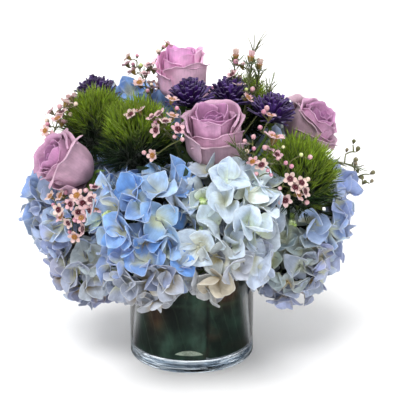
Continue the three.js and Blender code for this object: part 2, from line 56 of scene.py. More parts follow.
# Heads and stems, in millimetres: each lobe is its middle and how far its florets reach.
# A floret's size is a share of that reach. Round turn_height the upper colour gives way to the lower.
# A blush is a place where the florets turn to another colour: place, reach, colour, strength.
# The florets are the large open ones that stand out, each with its place, facing, reach and colour.
# The hem keeps florets off the vase's corner: its X, and the height that none past it hangs under.
HEADS = {
    "front_left": {
        "lobes": (((-39, -76, 170), 49), ((-36, -97, 126), 41)),
        "stem": ((-36, -78, 160), (-30, -52, 142), (-21, -33, 104)),
        "upper": "sky", "lower": "cream", "share": 0.54, "turn_height": 121, "top": 192, "pale": 0.55,
        "buds": ((-0.72, -0.68, 0.05), (0.35, -0.9, -0.25)),
        "blushes": (((-30, -124, 119), 17, "heart_low", 0.75), ((-20, -118, 165), 15, "heart", 0.5),
                    ((-68, -96, 168), 15, "heart", 0.45), ((-62, -108, 130), 18, "lilac", 0.6)),
        "florets": (((-49, -104, 192), (-0.35, -0.8, 0.5), 22, "sky"),
                    ((-56, -112, 146), (-0.4, -0.9, 0.1), 22, "sky"),
                    ((-37, -124, 117), (-0.1, -0.95, -0.1), 23, "cream")),
    },
    "front_right": {
        "lobes": (((37, -77, 171), 46), ((30, -97, 130), 39)),
        "stem": ((38, -78, 160), (31, -52, 142), (22, -33, 104)),
        "upper": "icy", "lower": "cream", "share": 0.57, "turn_height": 126, "top": 200, "hem": (33, 128),
        "buds": ((-0.6, -0.75, 0.3), (-0.72, -0.6, -0.35)),
        "blushes": (((22, -126, 120), 20, "heart_low", 0.85), ((8, -104, 172), 16, "heart", 0.5),
                    ((66, -96, 116), 20, "lilac", 0.6), ((70, -88, 134), 16, "heart_low", 0.5)),
        "florets": (((49, -118, 168), (0.15, -0.9, 0.35), 27, "icy"),
                    ((32, -104, 203), (0.0, -0.7, 0.7), 23, "icy"),
                    ((7, -117, 147), (-0.1, -0.95, 0.1), 25, "icy"),
                    ((24, -125, 122), (0.0, -0.95, -0.1), 24, "heart_low")),
    },
    "left": {
        "lobes": (((-112, -6, 147), 50), ((-97, -18, 104), 44)),
        "stem": ((-103, -10, 142), (-58, -8, 141), (-30, -7, 106)),
        "upper": "periwinkle", "lower": "lilac", "share": 0.50, "turn_height": 112,
        "buds": ((0.35, -0.9, 0.2),),
        "blushes": (((-114, -52, 114), 16, "heart_low", 0.5), ((-82, -58, 116), 18, "heart", 0.5),
                    ((-120, -44, 150), 20, "lilac", 0.6)),
        "florets": (((-121, -48, 148), (-0.35, -0.9, 0.1), 26, "periwinkle"),),
    },
    "right": {
        "lobes": (((110, -6, 151), 50), ((98, -18, 106), 44)),
        "stem": ((101, -10, 144), (58, -8, 142), (30, -7, 106)),
        "upper": "periwinkle", "lower": "lilac", "share": 0.50, "turn_height": 118,
        "buds": ((-0.3, -0.92, 0.0),),
        "blushes": (((80, -58, 116), 26, "bud_green", 0.5), ((104, -54, 134), 18, "heart", 0.6),
                    ((112, -50, 112), 16, "lilac", 0.5)),
        "florets": (((114, -47, 147), (0.3, -0.9, 0.1), 26, "periwinkle"),),
    },
    "back_left": {
        "lobes": (((-64, 66, 212), 48), ((-60, 92, 152), 46)),
        "stem": ((-56, 78, 168), (-36, 45, 148), (-22, 26, 104)),
        "upper": "sky", "lower": "periwinkle", "share": 0.54, "turn_height": 150, "pale": 0.4,
        "buds": ((0.2, 0.95, 0.1),),
        "florets": (((-63, 58, 257), (-0.1, -0.75, 0.65), 21, "sky"),
                    ((-36, 56, 244), (0.2, -0.75, 0.6), 21, "sky")),
    },
    "back_right": {
        "lobes": (((66, 76, 184), 49), ((58, 96, 132), 45)),
        "stem": ((58, 76, 162), (37, 46, 148), (23, 26, 104)),
        "upper": "periwinkle", "lower": "icy", "share": 0.54, "turn_height": 140,
        "buds": ((-0.1, 0.95, 0.1),),
    },
}

# "open" is how far the lips turn out, "grey" how grey the outer petals are, "light" is painted light: it
# makes a rose's colours lighter, most on the top rose, whose upright petals catch little light
ROSES = {
    "centre": {"at": (23, -52, 206), "facing": (-0.06, -0.22, 0.97), "size": 1.07, "spin": 0.5, "tall": 1.04,
               "open": 0.8, "grey": 0.9, "light": 0.95, "bend": (20, -30, 160), "foot": (9, -17, 102)},
    "left": {"at": (-95, -50, 193), "facing": (-0.74, -0.34, 0.58), "size": 0.98, "spin": 1.7, "tall": 1.02,
             "open": 0.8, "grey": 0.6, "light": 0.95, "bend": (-60, -32, 160), "foot": (-30, -20, 108)},
    "top": {"at": (-9, 38, 252), "facing": (-0.04, -0.04, 1.0), "size": 0.97, "spin": 2.9, "tall": 1.12,
            "open": 0.6, "grey": 0.5, "light": 1.6, "bend": (-4, 24, 170), "foot": (-3, 14, 100)},
    "right": {"at": (103, 13, 206), "facing": (0.5, -0.24, 0.83), "size": 1.0, "spin": 4.1, "tall": 1.02,
              "open": 0.9, "grey": 0.9, "light": 1.0, "bend": (60, 12, 168), "foot": (29, 8, 104)},
    "back": {"at": (8, 92, 208), "facing": (0.05, 0.6, 0.8), "size": 0.96, "spin": 5.3, "tall": 1.04,
             "open": 0.9, "grey": 0.6, "light": 1.0, "bend": (4, 60, 165), "foot": (2, 33, 104)},
}

# "dark" is how deep the shade under each ball is, "crest" how much longer its upright hairs are
DIANTHUS = {
    "left": {"at": (-91, -4, 233), "reach": 36, "dark": 1.0, "crest": 0.1,
             "bend": (-60, 0, 172), "foot": (-33, 6, 106)},
    "middle": {"at": (-50, -39, 222), "reach": 37, "dark": 1.3, "crest": 0.42,
               "bend": (-28, -24, 168), "foot": (-12, -14, 102)},
    "right": {"at": (99, -46, 191), "reach": 40, "dark": 0.6, "crest": 0.15,
              "bend": (62, -30, 162), "foot": (31, -20, 108)},
    "back": {"at": (52, 40, 240), "reach": 34, "dark": 0.8, "crest": 0.1,
             "bend": (28, 28, 175), "foot": (14, 20, 102)},
}

ASTERS = {
    "left": {"at": (-95, 46, 250), "facing": (-0.2, -0.05, 1), "bend": (-60, 13, 172),
             "foot": (-31, 18, 106)},
    "middle": {"at": (0, -10, 254), "facing": (-0.05, -0.08, 1), "bend": (-3, -7, 175),
               "foot": (-4, -4, 100)},
    "centre": {"at": (37, 4, 253), "facing": (0.05, -0.05, 1), "bend": (24, 4, 172),
               "foot": (12, 3, 100)},
    "right": {"at": (76, -16, 241), "facing": (0.2, -0.12, 1), "bend": (42, -12, 170),
              "foot": (24, -8, 102)},
}

# Waxflower sprays: the main stem, then where each flower and bud sits and what it is
SPRAYS = {
    "top_left": {
        "path": ((-12, 8, 112), (-20, 16, 190), (-34, 22, 240), (-52, 28, 286)),
        "gold": ((-62, 26, 297), (-51, 18, 273), (-24, 44, 308)),
        "maroon": ((-41, 24, 289), (-37, 28, 284), (-45, 20, 281), (-64, 36, 289)),
        "bud": ((-54, 34, 298), (-33, 38, 302), (-28, 42, 306), (-58, 30, 290), (-43, 12, 266),
                (-39, 14, 272)),
        "green": ((-50, 28, 289),),
        "more": 5, "needles": 16,
    },
    "top_right": {
        "path": ((19, -2, 112), (36, -4, 190), (52, 2, 250), (60, 2, 303)),
        "branches": (
            ((41, -3, 205), (42, 2, 250), (42, 4, 294)),
            ((46, -2, 225), (54, -3, 262), (57, -4, 292)),
            ((50, 1, 240), (62, 6, 264), (66, 6, 284)),
            ((50, -8, 225), (67, -12, 252), (77, -8, 276)),
        ),
        "upright": ((43, 4, 300), (57, -4, 299), (66, 6, 291)),
        "blades": ((54, 2, 319), (61, 4, 323), (66, 2, 316), (72, 0, 326), (74, 1, 324), (71, 6, 313)),
        "gold": ((37, 10, 269), (54, -10, 262)),
        "maroon": ((40, 8, 277), (46, -4, 273), (40, 0, 283)),
        "bud": ((59, -6, 270), (47, 8, 280), (63, 10, 270)),
        "green": ((55, 0, 266), (50, -6, 262), (53, -8, 270)),
        "more": 2, "needles": 170, "leafy": 0.86,
    },
    "middle": {
        "path": ((-2, -24, 112), (-6, -36, 180), (-14, -56, 226), (-24, -72, 244)),
        "gold": ((-46, -58, 257), (-16, -70, 254), (-17, -58, 267), (-33, -86, 222)),
        "maroon": ((-54, -60, 254), (-34, -70, 253), (-27, -68, 256), (-22, -76, 250),
                   (-11, -80, 244), (-30, -76, 243)),
        "bud": ((-12, -66, 261), (-7, -84, 236), (-14, -82, 238), (-41, -84, 224)),
        "more": 2, "needles": 16,
    },
    "far_left": {
        "path": ((-44, -14, 118), (-62, -20, 166), (-126, -28, 216), (-126, -28, 244)),
        "gold": ((-118, -24, 259), (-136, -36, 235), (-124, -36, 246)),
        "maroon": ((-121, -30, 251), (-113, -20, 263), (-131, -40, 230), (-116, -18, 254)),
        "bud": ((-108, -28, 259), (-123, -30, 257), (-135, -30, 240)),
        "more": 5, "needles": 8,
    },
    "low_left": {
        "path": ((-33, -30, 118), (-52, -46, 152), (-88, -66, 172), (-104, -82, 176)),
        "gold": ((-128, -70, 180), (-117, -78, 183), (-83, -98, 177), (-97, -96, 167), (-105, -86, 147),
                 (-117, -82, 164), (-101, -90, 186)),
        "maroon": ((-107, -88, 178), (-119, -82, 171), (-85, -88, 193), (-88, -96, 184), (-91, -98, 174),
                   (-110, -86, 160), (-96, -95, 180), (-100, -95, 173), (-96, -90, 155)),
        "bud": ((-103, -94, 165), (-113, -78, 186), (-125, -76, 174), (-89, -96, 164), (-110, -82, 150),
                (-93, -90, 191)),
        "more": 2, "needles": 6,
    },
    "right": {
        "path": ((18, -22, 112), (40, -42, 180), (60, -62, 208), (74, -84, 214)),
        "branches": (
            ((56, -58, 203), (50, -80, 212), (40, -96, 232)),
            ((57, -60, 205), (54, -82, 212), (48, -98, 226)),
        ),
        "gold": ((73, -50, 251), (55, -96, 218), (95, -96, 189)),
        "maroon": ((63, -96, 215), (88, -96, 203), (92, -97, 195), (98, -95, 199), (101, -94, 191),
                   (84, -96, 184)),
        "bud": ((48, -86, 235), (56, -82, 238), (56, -90, 229), (67, -50, 255), (70, -46, 258),
                (66, -86, 229), (68, -98, 211), (58, -98, 208), (71, -98, 207), (77, -94, 221),
                (84, -94, 217), (106, -88, 221), (104, -93, 202), (79, -98, 195), (104, -90, 180),
                (63, -64, 243), (50, -92, 227), (89, -94, 214)),
        "green": ((98, -88, 223), (82, -88, 230)),
        "great": ((75, -74, 235),),
        "more": 2, "needles": 84,
    },
    "far_right": {
        "path": ((42, 2, 118), (66, 2, 172), (136, -2, 196), (166, -4, 192)),
        "dry": ((159, -4, 219), (163, -6, 212), (178, -10, 189), (171, -8, 179), (169, -2, 182),
                (155, -6, 183), (177, -12, 181), (165, 4, 187)),
        "more": 3, "needles": 26,
    },
    "back": {
        "path": ((-10, 24, 112), (-16, 44, 190), (-18, 70, 240), (-21, 88, 260)),
        "gold": ((-10, 96, 262), (-32, 90, 270)),
        "maroon": ((-22, 100, 270), (-14, 86, 274), (-36, 82, 262)),
        "bud": ((-26, 92, 276), (-4, 88, 270)),
        "more": 11, "needles": 14,
    },
}

FOAM_TOP = 149
FOAM_PROFILE = ((50, 12.3), (54, 16.3), (54, 127), (49, 142.4), (30, 147.5), (4, FOAM_TOP))
# The moss and the greens follow the foam's crown: it falls by this much at this radius, by this power
CROWN_DROP = 22
CROWN_RADIUS = 58
CROWN_POWER = 2.6
MOSS_RADIUS = 56
GREENS_RADIUS = 50

# Each leaf's stretch round the glass in degrees, its radius, and the height of its arch
LEAVES = {
    "left": {"from": 82, "to": 284, "radius": 59.8, "arch": 0},
    "right": {"from": 252, "to": 452, "radius": 58.7, "arch": 4},
}
LEAF_LOW = 13
LEAF_HIGH = 121
LEAF_WAVE = 3
LEAF_THICKNESS = 0.48
# A pale lens-shaped sheet at the foot of the left leaf, a painted reflection of the glint seen there: from
# and to in degrees, low edge, height, radius
LEAF_GLINT_SHEET = (255, 281, 17.6, 5.4, 60.05)
# Where the leaves are painted darker or lighter, or brown: "dark" is painted shade, "light" painted light and
# "brown" the leaf's own bruises. Degrees, height, reach in both, colour, strength
LEAF_SHADES = (
    (252, 66, 16, 22, "dark", 0.95),
    (234, 52, 9, 16, "brown", 0.6),
    (277, 40, 7, 40, "light", 0.75),
    (242, 26, 14, 12, "light", 0.6),
    (285.5, 50, 1.8, 60, "dark", 0.9),
    (305, 82, 14, 14, "brown", 0.95),
    (300, 40, 12, 36, "dark", 0.35),
)
# Where the right leaf bows out to the glass: degrees, reach in degrees, how far
LEAF_BOW = (356, 22, 0.9)
# The low arch at the foot of the right leaf: degrees, reach in degrees
LEAF_ARCH = (272, 16)
# Screen colours of the leaves, 0 to 255: painted shade, also used for the leaf's random dark mottle; painted
# light; brown bruises; and the painted reflection at its foot
LEAF_DARK = (9, 13, 10)
LEAF_PAINTED_LIGHT = (68, 92, 78)
LEAF_BROWN = (104, 60, 32)
LEAF_PAINTED_GLINT = (176, 184, 164)

# The hollow under the vase and the shallow dish of its floor: share of the radius, depth in mm
VASE_PUNT = ((0.05, 1.5), (0.3, 1.4), (0.55, 1.05), (0.75, 0.55), (0.88, 0.15), (0.93, 0.0))
VASE_DISH = ((0.88, 0.0), (0.7, 0.25), (0.45, 0.6), (0.2, 0.8), (0.05, 0.85))

# Radii of the stems, in millimetres
HYDRANGEA_STEM = 3
ROSE_STEM = 2.4
DIANTHUS_STEM = 2.2
ASTER_STEM = 1.7
SPRAY_STEM = 1.4
TWIG = 0.7

# How steeply a head's hem falls away before its X
HEM_SLOPE = 1.9
# Florets may rise over their head's top near the middle of the bouquet: its X, the reach, the slope
TOP_RISE = (-2, 45, 0.35)
# The ball that florets keep off for a bloom: how far up its facing the middle lies, and its radius
ROSE_BALL = (26, 27)
ASTER_BALL = (6, 14)
# How deep florets may reach into a dianthus, another head's lobe, or the other lobe of their own head
DIANTHUS_OVERLAP = 2
LOBE_OVERLAP = 20
TWIN_OVERLAP = 11
# How far outer florets stay off other blooms, and all florets off the glass
BLOOM_GAP = 3
GLASS_GAP = 7

# Colours of the glass: the wall's own cool tint, painted shade beside the leaves and at its outline, and
# painted dark and pale reflections streaked through its foot
GLASS_WALL = (0.955, 0.975, 0.985, 1)
GLASS_PAINTED_SHADE_BESIDE_LEAF = (0.71, 0.73, 0.76, 1)
GLASS_PAINTED_SHADE_OUTLINE = (0.81, 0.83, 0.86, 1)
GLASS_PAINTED_DARK_REFLECTION = (0.06, 0.09, 0.13, 1)
GLASS_PAINTED_PALE_REFLECTION = (0.72, 0.8, 0.87, 1)
# The heights between which the wall of the glass turns into its foot, in metres
GLASS_FOOT = (0.0145, 0.0105)
# How high the finest relief of petals and green skin stands, in metres
SKIN_RELIEF = 0.0004

# Where the camera stood, in metres, how far down it looks, in degrees, and its lens, in millimetres
CAMERA_AT = (0.0086, -0.850, 0.383)
CAMERA_DOWN = 14.8
CAMERA_LENS = 79.2
CAMERA_SENSOR = 36
# Each soft light's place, softness in degrees and power
LIGHTS = {
    "key_light": ((-0.3, -0.75, 1.5), 30, 2.35),
    "fill_light": ((0.3, -1.2, 0.5), 60, 0.85),
}
LIGHT_AIM = (0, 0, 0.17)
# The light of the sky, its brightness where the camera sees it, and how far mirrored rays are dimmed
SKY_LIGHT = 0.62
SKY_SEEN = 1.1
MIRROR_DIM = 0.94
# How far the paper glows where it is seen through the glass
GLASS_GLOW = 0.2
# The paper's size, the rise of its back and the radius of its bend, in metres
PAPER_SIZE = 8
PAPER_RISE = 5
PAPER_BEND = 1.6


def linear(value):
    """One channel of a screen colour, 0 to 255, as light."""
    share = value / 255
    if share <= 0.04045:
        return share / 12.92
    return ((share + 0.055) / 1.055) ** 2.4


def colour(red, green, blue):
    """A screen colour as the three shares of light that the shaders take."""
    return (linear(red), linear(green), linear(blue))


def tone(name, text, default):
    """A colour that the user can change."""
    return bpy.props.FloatVectorProperty(
        name=name, description=text, subtype="COLOR", size=3, min=0, max=1, default=default)


def length(name, text, default):
    """A length that the user can change, in metres."""
    return bpy.props.FloatProperty(name=name, description=text, default=default, min=0, unit="LENGTH")


class VaseSizes(bpy.types.PropertyGroup):
    """Sizes of the glass cylinder."""
    radius: length("Radius", "Outer radius of the glass", 0.0635)
    height: length("Height", "Height of the vase", 0.127)
    wall: length("Wall", "Thickness of the glass wall", 0.003)
    base: length("Base", "Thickness of the glass base", 0.012)
    edge: length("Edge", "Rounding of the foot and of the inside corner", 0.002)


class FlowerSizes(bpy.types.PropertyGroup):
    """Sizes that the flowers are drawn from."""
    petal_thickness: length("Petal Thickness", "Thickness of a rose petal", 0.0006)
    bract: length("Bract", "Length of the green hairs of the dianthus", 0.021)
    aster_petal: length("Aster Petal", "Length of the outer aster petals", 0.026)
    wax_petal: length("Waxflower Petal", "Length of a waxflower petal", 0.0041)
    needle: length("Needle", "Length of a waxflower needle", 0.015)


class FlowerColours(bpy.types.PropertyGroup):
    """Colours that the flowers are drawn from."""
    sky: tone("Sky", "Sky blue hydrangea", colour(98, 156, 236))
    icy: tone("Icy", "Icy white hydrangea", colour(204, 222, 242))
    periwinkle: tone("Periwinkle", "Periwinkle hydrangea", colour(134, 160, 214))
    lilac: tone("Lilac", "Lilac grey low florets", colour(142, 148, 194))
    cream: tone("Cream", "Cream and lavender low florets", colour(174, 176, 188))
    heart: tone("Heart", "Creamy green at the middle of a floret", colour(212, 226, 192))
    heart_low: tone("Heart Low", "Tan and olive at the middle of an old floret", colour(166, 136, 54))
    bud_green: tone("Bud Green", "Unopened hydrangea buds", colour(176, 206, 104))
    core: tone("Core", "Shade between the florets", colour(34, 48, 36))
    rose: tone("Rose", "Mauve rose petal", colour(208, 156, 190))
    rose_outer: tone("Rose Outer", "Greyer outer rose petal", colour(188, 158, 172))
    rose_heart: tone("Rose Heart", "Deep mauve in the heart of a rose", colour(144, 76, 146))
    rose_foot: tone("Rose Foot", "Grey brown at the foot of an outer petal", colour(132, 108, 110))
    bract: tone("Bract", "Yellow-green tips of the dianthus", colour(132, 166, 28))
    # Bract Deep is painted shade inside the dianthus balls; the moss also takes it as a random darker tone
    bract_deep: tone("Bract Deep", "Dark green inside the dianthus", colour(14, 34, 8))
    aster: tone("Aster", "Indigo aster petal", colour(64, 26, 106))
    aster_deep: tone("Aster Deep", "Dark base of an aster petal", colour(22, 10, 42))
    wax: tone("Waxflower", "Pale pink waxflower petal", colour(220, 166, 180))
    wax_peach: tone("Waxflower Peach", "Cream and peach waxflower petal", colour(226, 202, 184))
    wax_cup: tone("Waxflower Cup", "Maroon cup of a waxflower", colour(84, 16, 34))
    wax_gold: tone("Waxflower Gold", "Golden cup of a waxflower", colour(176, 120, 44))
    wax_bud: tone("Waxflower Bud", "Pink waxflower bud", colour(198, 138, 158))
    stem: tone("Stem", "Green stem", colour(84, 112, 46))
    twig: tone("Twig", "Olive waxflower twig", colour(92, 96, 50))
    leaf: tone("Leaf", "Dark lining leaf", colour(32, 54, 42))
    moss: tone("Moss", "Moss over the foam", colour(76, 92, 34))
    green: tone("Green", "Lighter filler leaf", colour(62, 84, 36))
    green_deep: tone("Green Deep", "Darker filler leaf", colour(22, 40, 22))


def settings(context):
    """The sizes and colours in use."""
    scene = context.scene
    return scene.vase_sizes, scene.flower_sizes, scene.flower_colours


def clear_selection():
    """Leaves edit mode and selects nothing."""
    if bpy.context.object and bpy.context.object.mode != "OBJECT":
        bpy.ops.object.mode_set(mode="OBJECT")
    bpy.ops.object.select_all(action="DESELECT")


class Shape:
    """A modelled shape, kept as points, faces and where each point lies on its petal."""

    def __init__(self, points, loops, totals, lay):
        self.points = np.asarray(points, float)
        self.loops = np.asarray(loops, int)
        self.totals = np.asarray(totals, int)
        self.lay = np.asarray(lay, float)

    @classmethod
    def taken_from(cls, item):
        """Takes the mesh of an object and removes the object."""
        mesh = item.data
        points = np.empty(len(mesh.vertices) * 3)
        mesh.vertices.foreach_get("co", points)
        loops = np.empty(len(mesh.loops), int)
        mesh.loops.foreach_get("vertex_index", loops)
        totals = np.empty(len(mesh.polygons), int)
        mesh.polygons.foreach_get("loop_total", totals)
        lay = np.zeros(len(points))
        if "lay" in mesh.attributes:
            mesh.attributes["lay"].data.foreach_get("vector", lay)
        bpy.data.objects.remove(item)
        bpy.data.meshes.remove(mesh)
        return cls(points.reshape(-1, 3), loops, totals, lay.reshape(-1, 3))

    def placed(self, turn=None, at=(0, 0, 0), size=1.0):
        """A copy of the shape, sized, turned and moved."""
        points = self.points * size
        if turn is not None:
            points = points @ np.asarray(turn).T
        return Shape(points + np.asarray(at), self.loops, self.totals, self.lay)


def joined(shapes):
    """Several shapes as one."""
    points = []
    loops = []
    count = 0
    for shape in shapes:
        points.append(shape.points)
        loops.append(shape.loops + count)
        count += len(shape.points)
    totals = np.concatenate([shape.totals for shape in shapes])
    lays = np.concatenate([shape.lay for shape in shapes])
    return Shape(np.concatenate(points), np.concatenate(loops), totals, lays)


def sheet(across, along, form, thickness, chance=EVEN_CHANCE):
    """A thin petal: a grid bent by form(u, v), with u from -1 to 1 across and v from 0 to 1 along."""
    bpy.ops.mesh.primitive_grid_add(x_subdivisions=across, y_subdivisions=along, size=2)
    item = bpy.context.object
    mesh = item.data
    flat = np.empty(len(mesh.vertices) * 3)
    mesh.vertices.foreach_get("co", flat)
    flat = flat.reshape(-1, 3)
    u = flat[:, 0]
    v = (flat[:, 1] + 1) / 2
    lay = mesh.attributes.new("lay", "FLOAT_VECTOR", "POINT")
    lay.data.foreach_set("vector", np.column_stack((u, v, np.full(len(u), chance))).ravel())
    mesh.vertices.foreach_set("co", form(u, v).ravel())
    mesh.update()
    wall = item.modifiers.new("Thickness", "SOLIDIFY")
    wall.thickness = thickness
    wall.offset = 0
    bpy.ops.object.modifier_apply(modifier=wall.name)
    return Shape.taken_from(item)


def ball(radius, segments, rings, stretch=1.0):
    """A round form, stretched along its height."""
    bpy.ops.mesh.primitive_uv_sphere_add(segments=segments, ring_count=rings, radius=radius)
    bpy.ops.object.mode_set(mode="EDIT")
    bpy.ops.transform.resize(value=(1, 1, stretch), center_override=(0, 0, 0))
    bpy.ops.object.mode_set(mode="OBJECT")
    shape = Shape.taken_from(bpy.context.object)
    shape.lay[:, 1] = shape.points[:, 2] / (2 * radius * stretch) + 0.5
    shape.lay[:, 2] = EVEN_CHANCE
    return shape


def unit(vector):
    """The vector at length one."""
    vector = np.asarray(vector, float)
    return vector / np.linalg.norm(vector)


def tube(points, radii, sides, chance=EVEN_CHANCE):
    """A closed tube along a row of points."""
    points = np.asarray(points, float)
    radii = np.broadcast_to(radii, len(points))
    tangents = np.gradient(points, axis=0)
    side = np.array((0.31, 0.93, 0.2))
    angles = np.arange(sides) * 2 * math.pi / sides
    rings = []
    for point, tangent, radius in zip(points, tangents, radii):
        tangent = unit(tangent)
        side = unit(side - tangent * np.dot(side, tangent))
        other = np.cross(tangent, side)
        ring = np.outer(np.cos(angles), side) + np.outer(np.sin(angles), other)
        rings.append(point + radius * ring)
    loops = []
    last = len(points) - 1
    for row in range(last):
        for k in range(sides):
            low = row * sides
            after = (k + 1) % sides
            loops += [low + k, low + after, low + sides + after, low + sides + k]
    totals = [4] * (last * sides)
    loops += list(range(sides - 1, -1, -1))
    loops += list(range(last * sides, (last + 1) * sides))
    totals += [sides, sides]
    along = np.repeat(np.linspace(0, 1, len(points)), sides)
    around = np.tile(np.cos(angles), len(points))
    lay = np.column_stack((around, along, np.full(len(along), chance)))
    return Shape(np.concatenate(rings), loops, totals, lay)


def stacked(rows, sides, base=(0, 0, 0), up=(0, 0, 1), size=1.0):
    """A closed round form along an axis, from rows that each hold a height and a radius."""
    places = [np.asarray(base) + np.asarray(up) * height * size for height, _ in rows]
    return tube(places, [radius * size for _, radius in rows], sides)


def curve(points, steps):
    """A smooth curve through given points."""
    points = np.array(points, float)
    ends = np.vstack((2 * points[0] - points[1], points, 2 * points[-1] - points[-2]))
    found = []
    for k in range(len(points) - 1):
        a, b, c, d = ends[k:k + 4]
        for t in np.linspace(0, 1, steps, endpoint=False):
            bend = (c - a) * t + (2 * a - 5 * b + 4 * c - d) * t ** 2 + (3 * b - a - 3 * c + d) * t ** 3
            found.append(b + bend / 2)
    found.append(points[-1])
    return np.array(found)


def point_along(path, share):
    """The place and direction at a share of a curve."""
    place = share * (len(path) - 1)
    low = min(int(place), len(path) - 2)
    part = place - low
    return path[low] + (path[low + 1] - path[low]) * part, unit(path[low + 1] - path[low])


def turned_to(direction, spin=0.0):
    """The turn that spins about +Z and then takes +Z to a direction."""
    turn = Vector(direction).to_track_quat("Z", "Y").to_matrix()
    return np.array(turn @ Matrix.Rotation(spin, 3, "Z"))


def turn_about(axis, angle):
    """A turn about X, Y or Z."""
    return np.array(Matrix.Rotation(angle, 3, axis))


def stray(rnd, reach):
    """A small step off by chance, up to its reach along each axis."""
    return np.array([rnd.uniform(-reach, reach) for _ in range(3)])


def any_angle(rnd):
    """An angle by chance, anywhere in a full turn."""
    return rnd.uniform(0, 2 * math.pi)


def spread(count, rnd, jitter):
    """Directions spread evenly over a sphere, a little out of order."""
    for k in range(count):
        z = 1 - (2 * k + 1) / count
        flat = math.sqrt(1 - z * z)
        angle = k * GOLDEN_TURN
        way = np.array((flat * math.cos(angle), flat * math.sin(angle), z))
        yield unit(way + stray(rnd, jitter))


def over_disc(count, widest):
    """Places spread evenly over a disc: each one's distance from the middle and its direction."""
    for k in range(count):
        angle = k * GOLDEN_TURN
        beside = widest * math.sqrt((k + 0.5) / count)
        yield beside, np.array((math.cos(angle), math.sin(angle), 0))


def between(a, b, share):
    """A colour or place between two others."""
    share = max(0.0, min(1.0, share))
    return np.asarray(a) + (np.asarray(b) - np.asarray(a)) * share


class Gather:
    """Gathers copies of shapes, with their colours, until they become one piece."""

    def __init__(self):
        self.shapes = []
        self.tints = []
        self.hearts = []

    def add(self, shape, tint, heart=None):
        """Adds a placed shape in its own colour, with the colour of its base."""
        count = len(shape.points)
        self.shapes.append(shape)
        self.tints.append(np.tile(np.append(tint, 1), (count, 1)))
        self.hearts.append(np.tile(np.append(tint if heart is None else heart, 1), (count, 1)))

    def finish(self, name, nodes, slot, material, angle=50):
        """Makes the gathered copies one piece that stands for its nodes."""
        whole = joined(self.shapes)
        mesh = bpy.data.meshes.new(name)
        mesh.vertices.add(len(whole.points))
        mesh.vertices.foreach_set("co", (whole.points * MM).astype(np.float32).ravel())
        mesh.loops.add(len(whole.loops))
        mesh.loops.foreach_set("vertex_index", whole.loops.astype(np.int32))
        mesh.polygons.add(len(whole.totals))
        starts = np.concatenate(([0], np.cumsum(whole.totals)[:-1]))
        mesh.polygons.foreach_set("loop_start", starts.astype(np.int32))
        mesh.update(calc_edges=True)
        mesh.validate()
        for label, kind, key, values in (
            ("lay", "FLOAT_VECTOR", "vector", whole.lay),
            ("tint", "FLOAT_COLOR", "color", np.concatenate(self.tints)),
            ("heart", "FLOAT_COLOR", "color", np.concatenate(self.hearts)),
        ):
            layer = mesh.attributes.new(label, kind, "POINT")
            layer.data.foreach_set(key, values.astype(np.float32).ravel())
        piece = bpy.data.objects.new(name, mesh)
        bpy.context.collection.objects.link(piece)
        settle(piece, nodes, material, angle)


def settle(piece, nodes, material, angle):
    """Smooths a piece, gives it its material and ties it to the frame."""
    clear_selection()
    piece.select_set(True)
    bpy.context.view_layer.objects.active = piece
    bpy.ops.object.transform_apply(location=True, rotation=True, scale=True)
    bpy.ops.object.shade_smooth_by_angle(angle=math.radians(angle))
    piece.data.materials.clear()
    piece.data.materials.append(material)
    clear_selection()
    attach(piece, "root")
    if nodes:
        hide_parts(*nodes)


def lathe(name, rings, sides):
    """Turns a row of rings, each a radius and a height, and closes both ends."""
    clear_selection()
    radius, height = rings[0]
    bpy.ops.mesh.primitive_circle_add(vertices=sides, radius=radius, location=(0, 0, height))
    item = bpy.context.object
    item.name = name
    bpy.ops.object.transform_apply(location=True, rotation=True, scale=True)
    bpy.ops.object.mode_set(mode="EDIT")
    bpy.ops.mesh.select_all(action="SELECT")
    bpy.ops.mesh.select_mode(type="EDGE")
    for new_radius, new_height in rings[1:]:
        rise = {"value": (0, 0, new_height - height)}
        bpy.ops.mesh.extrude_edges_move(TRANSFORM_OT_translate=rise)
        share = new_radius / radius
        bpy.ops.transform.resize(value=(share, share, 1), center_override=(0, 0, new_height))
        radius = new_radius
        height = new_height
    bpy.ops.mesh.edge_face_add()
    bpy.ops.mesh.select_mode(type="VERT")
    bpy.ops.mesh.select_all(action="DESELECT")
    bpy.ops.mesh.select_non_manifold()
    bpy.ops.mesh.edge_face_add()
    bpy.ops.mesh.select_all(action="SELECT")
    bpy.ops.mesh.normals_make_consistent(inside=False)
    bpy.ops.object.mode_set(mode="OBJECT")
    return item


def arc(centre, radius, start, end, steps):
    """Points on an arc in the plane of radius and height, between two angles in degrees."""
    found = []
    for k in range(steps + 1):
        angle = math.radians(start + (end - start) * k / steps)
        found.append((centre[0] + radius * math.cos(angle), centre[1] + radius * math.sin(angle)))
    return found


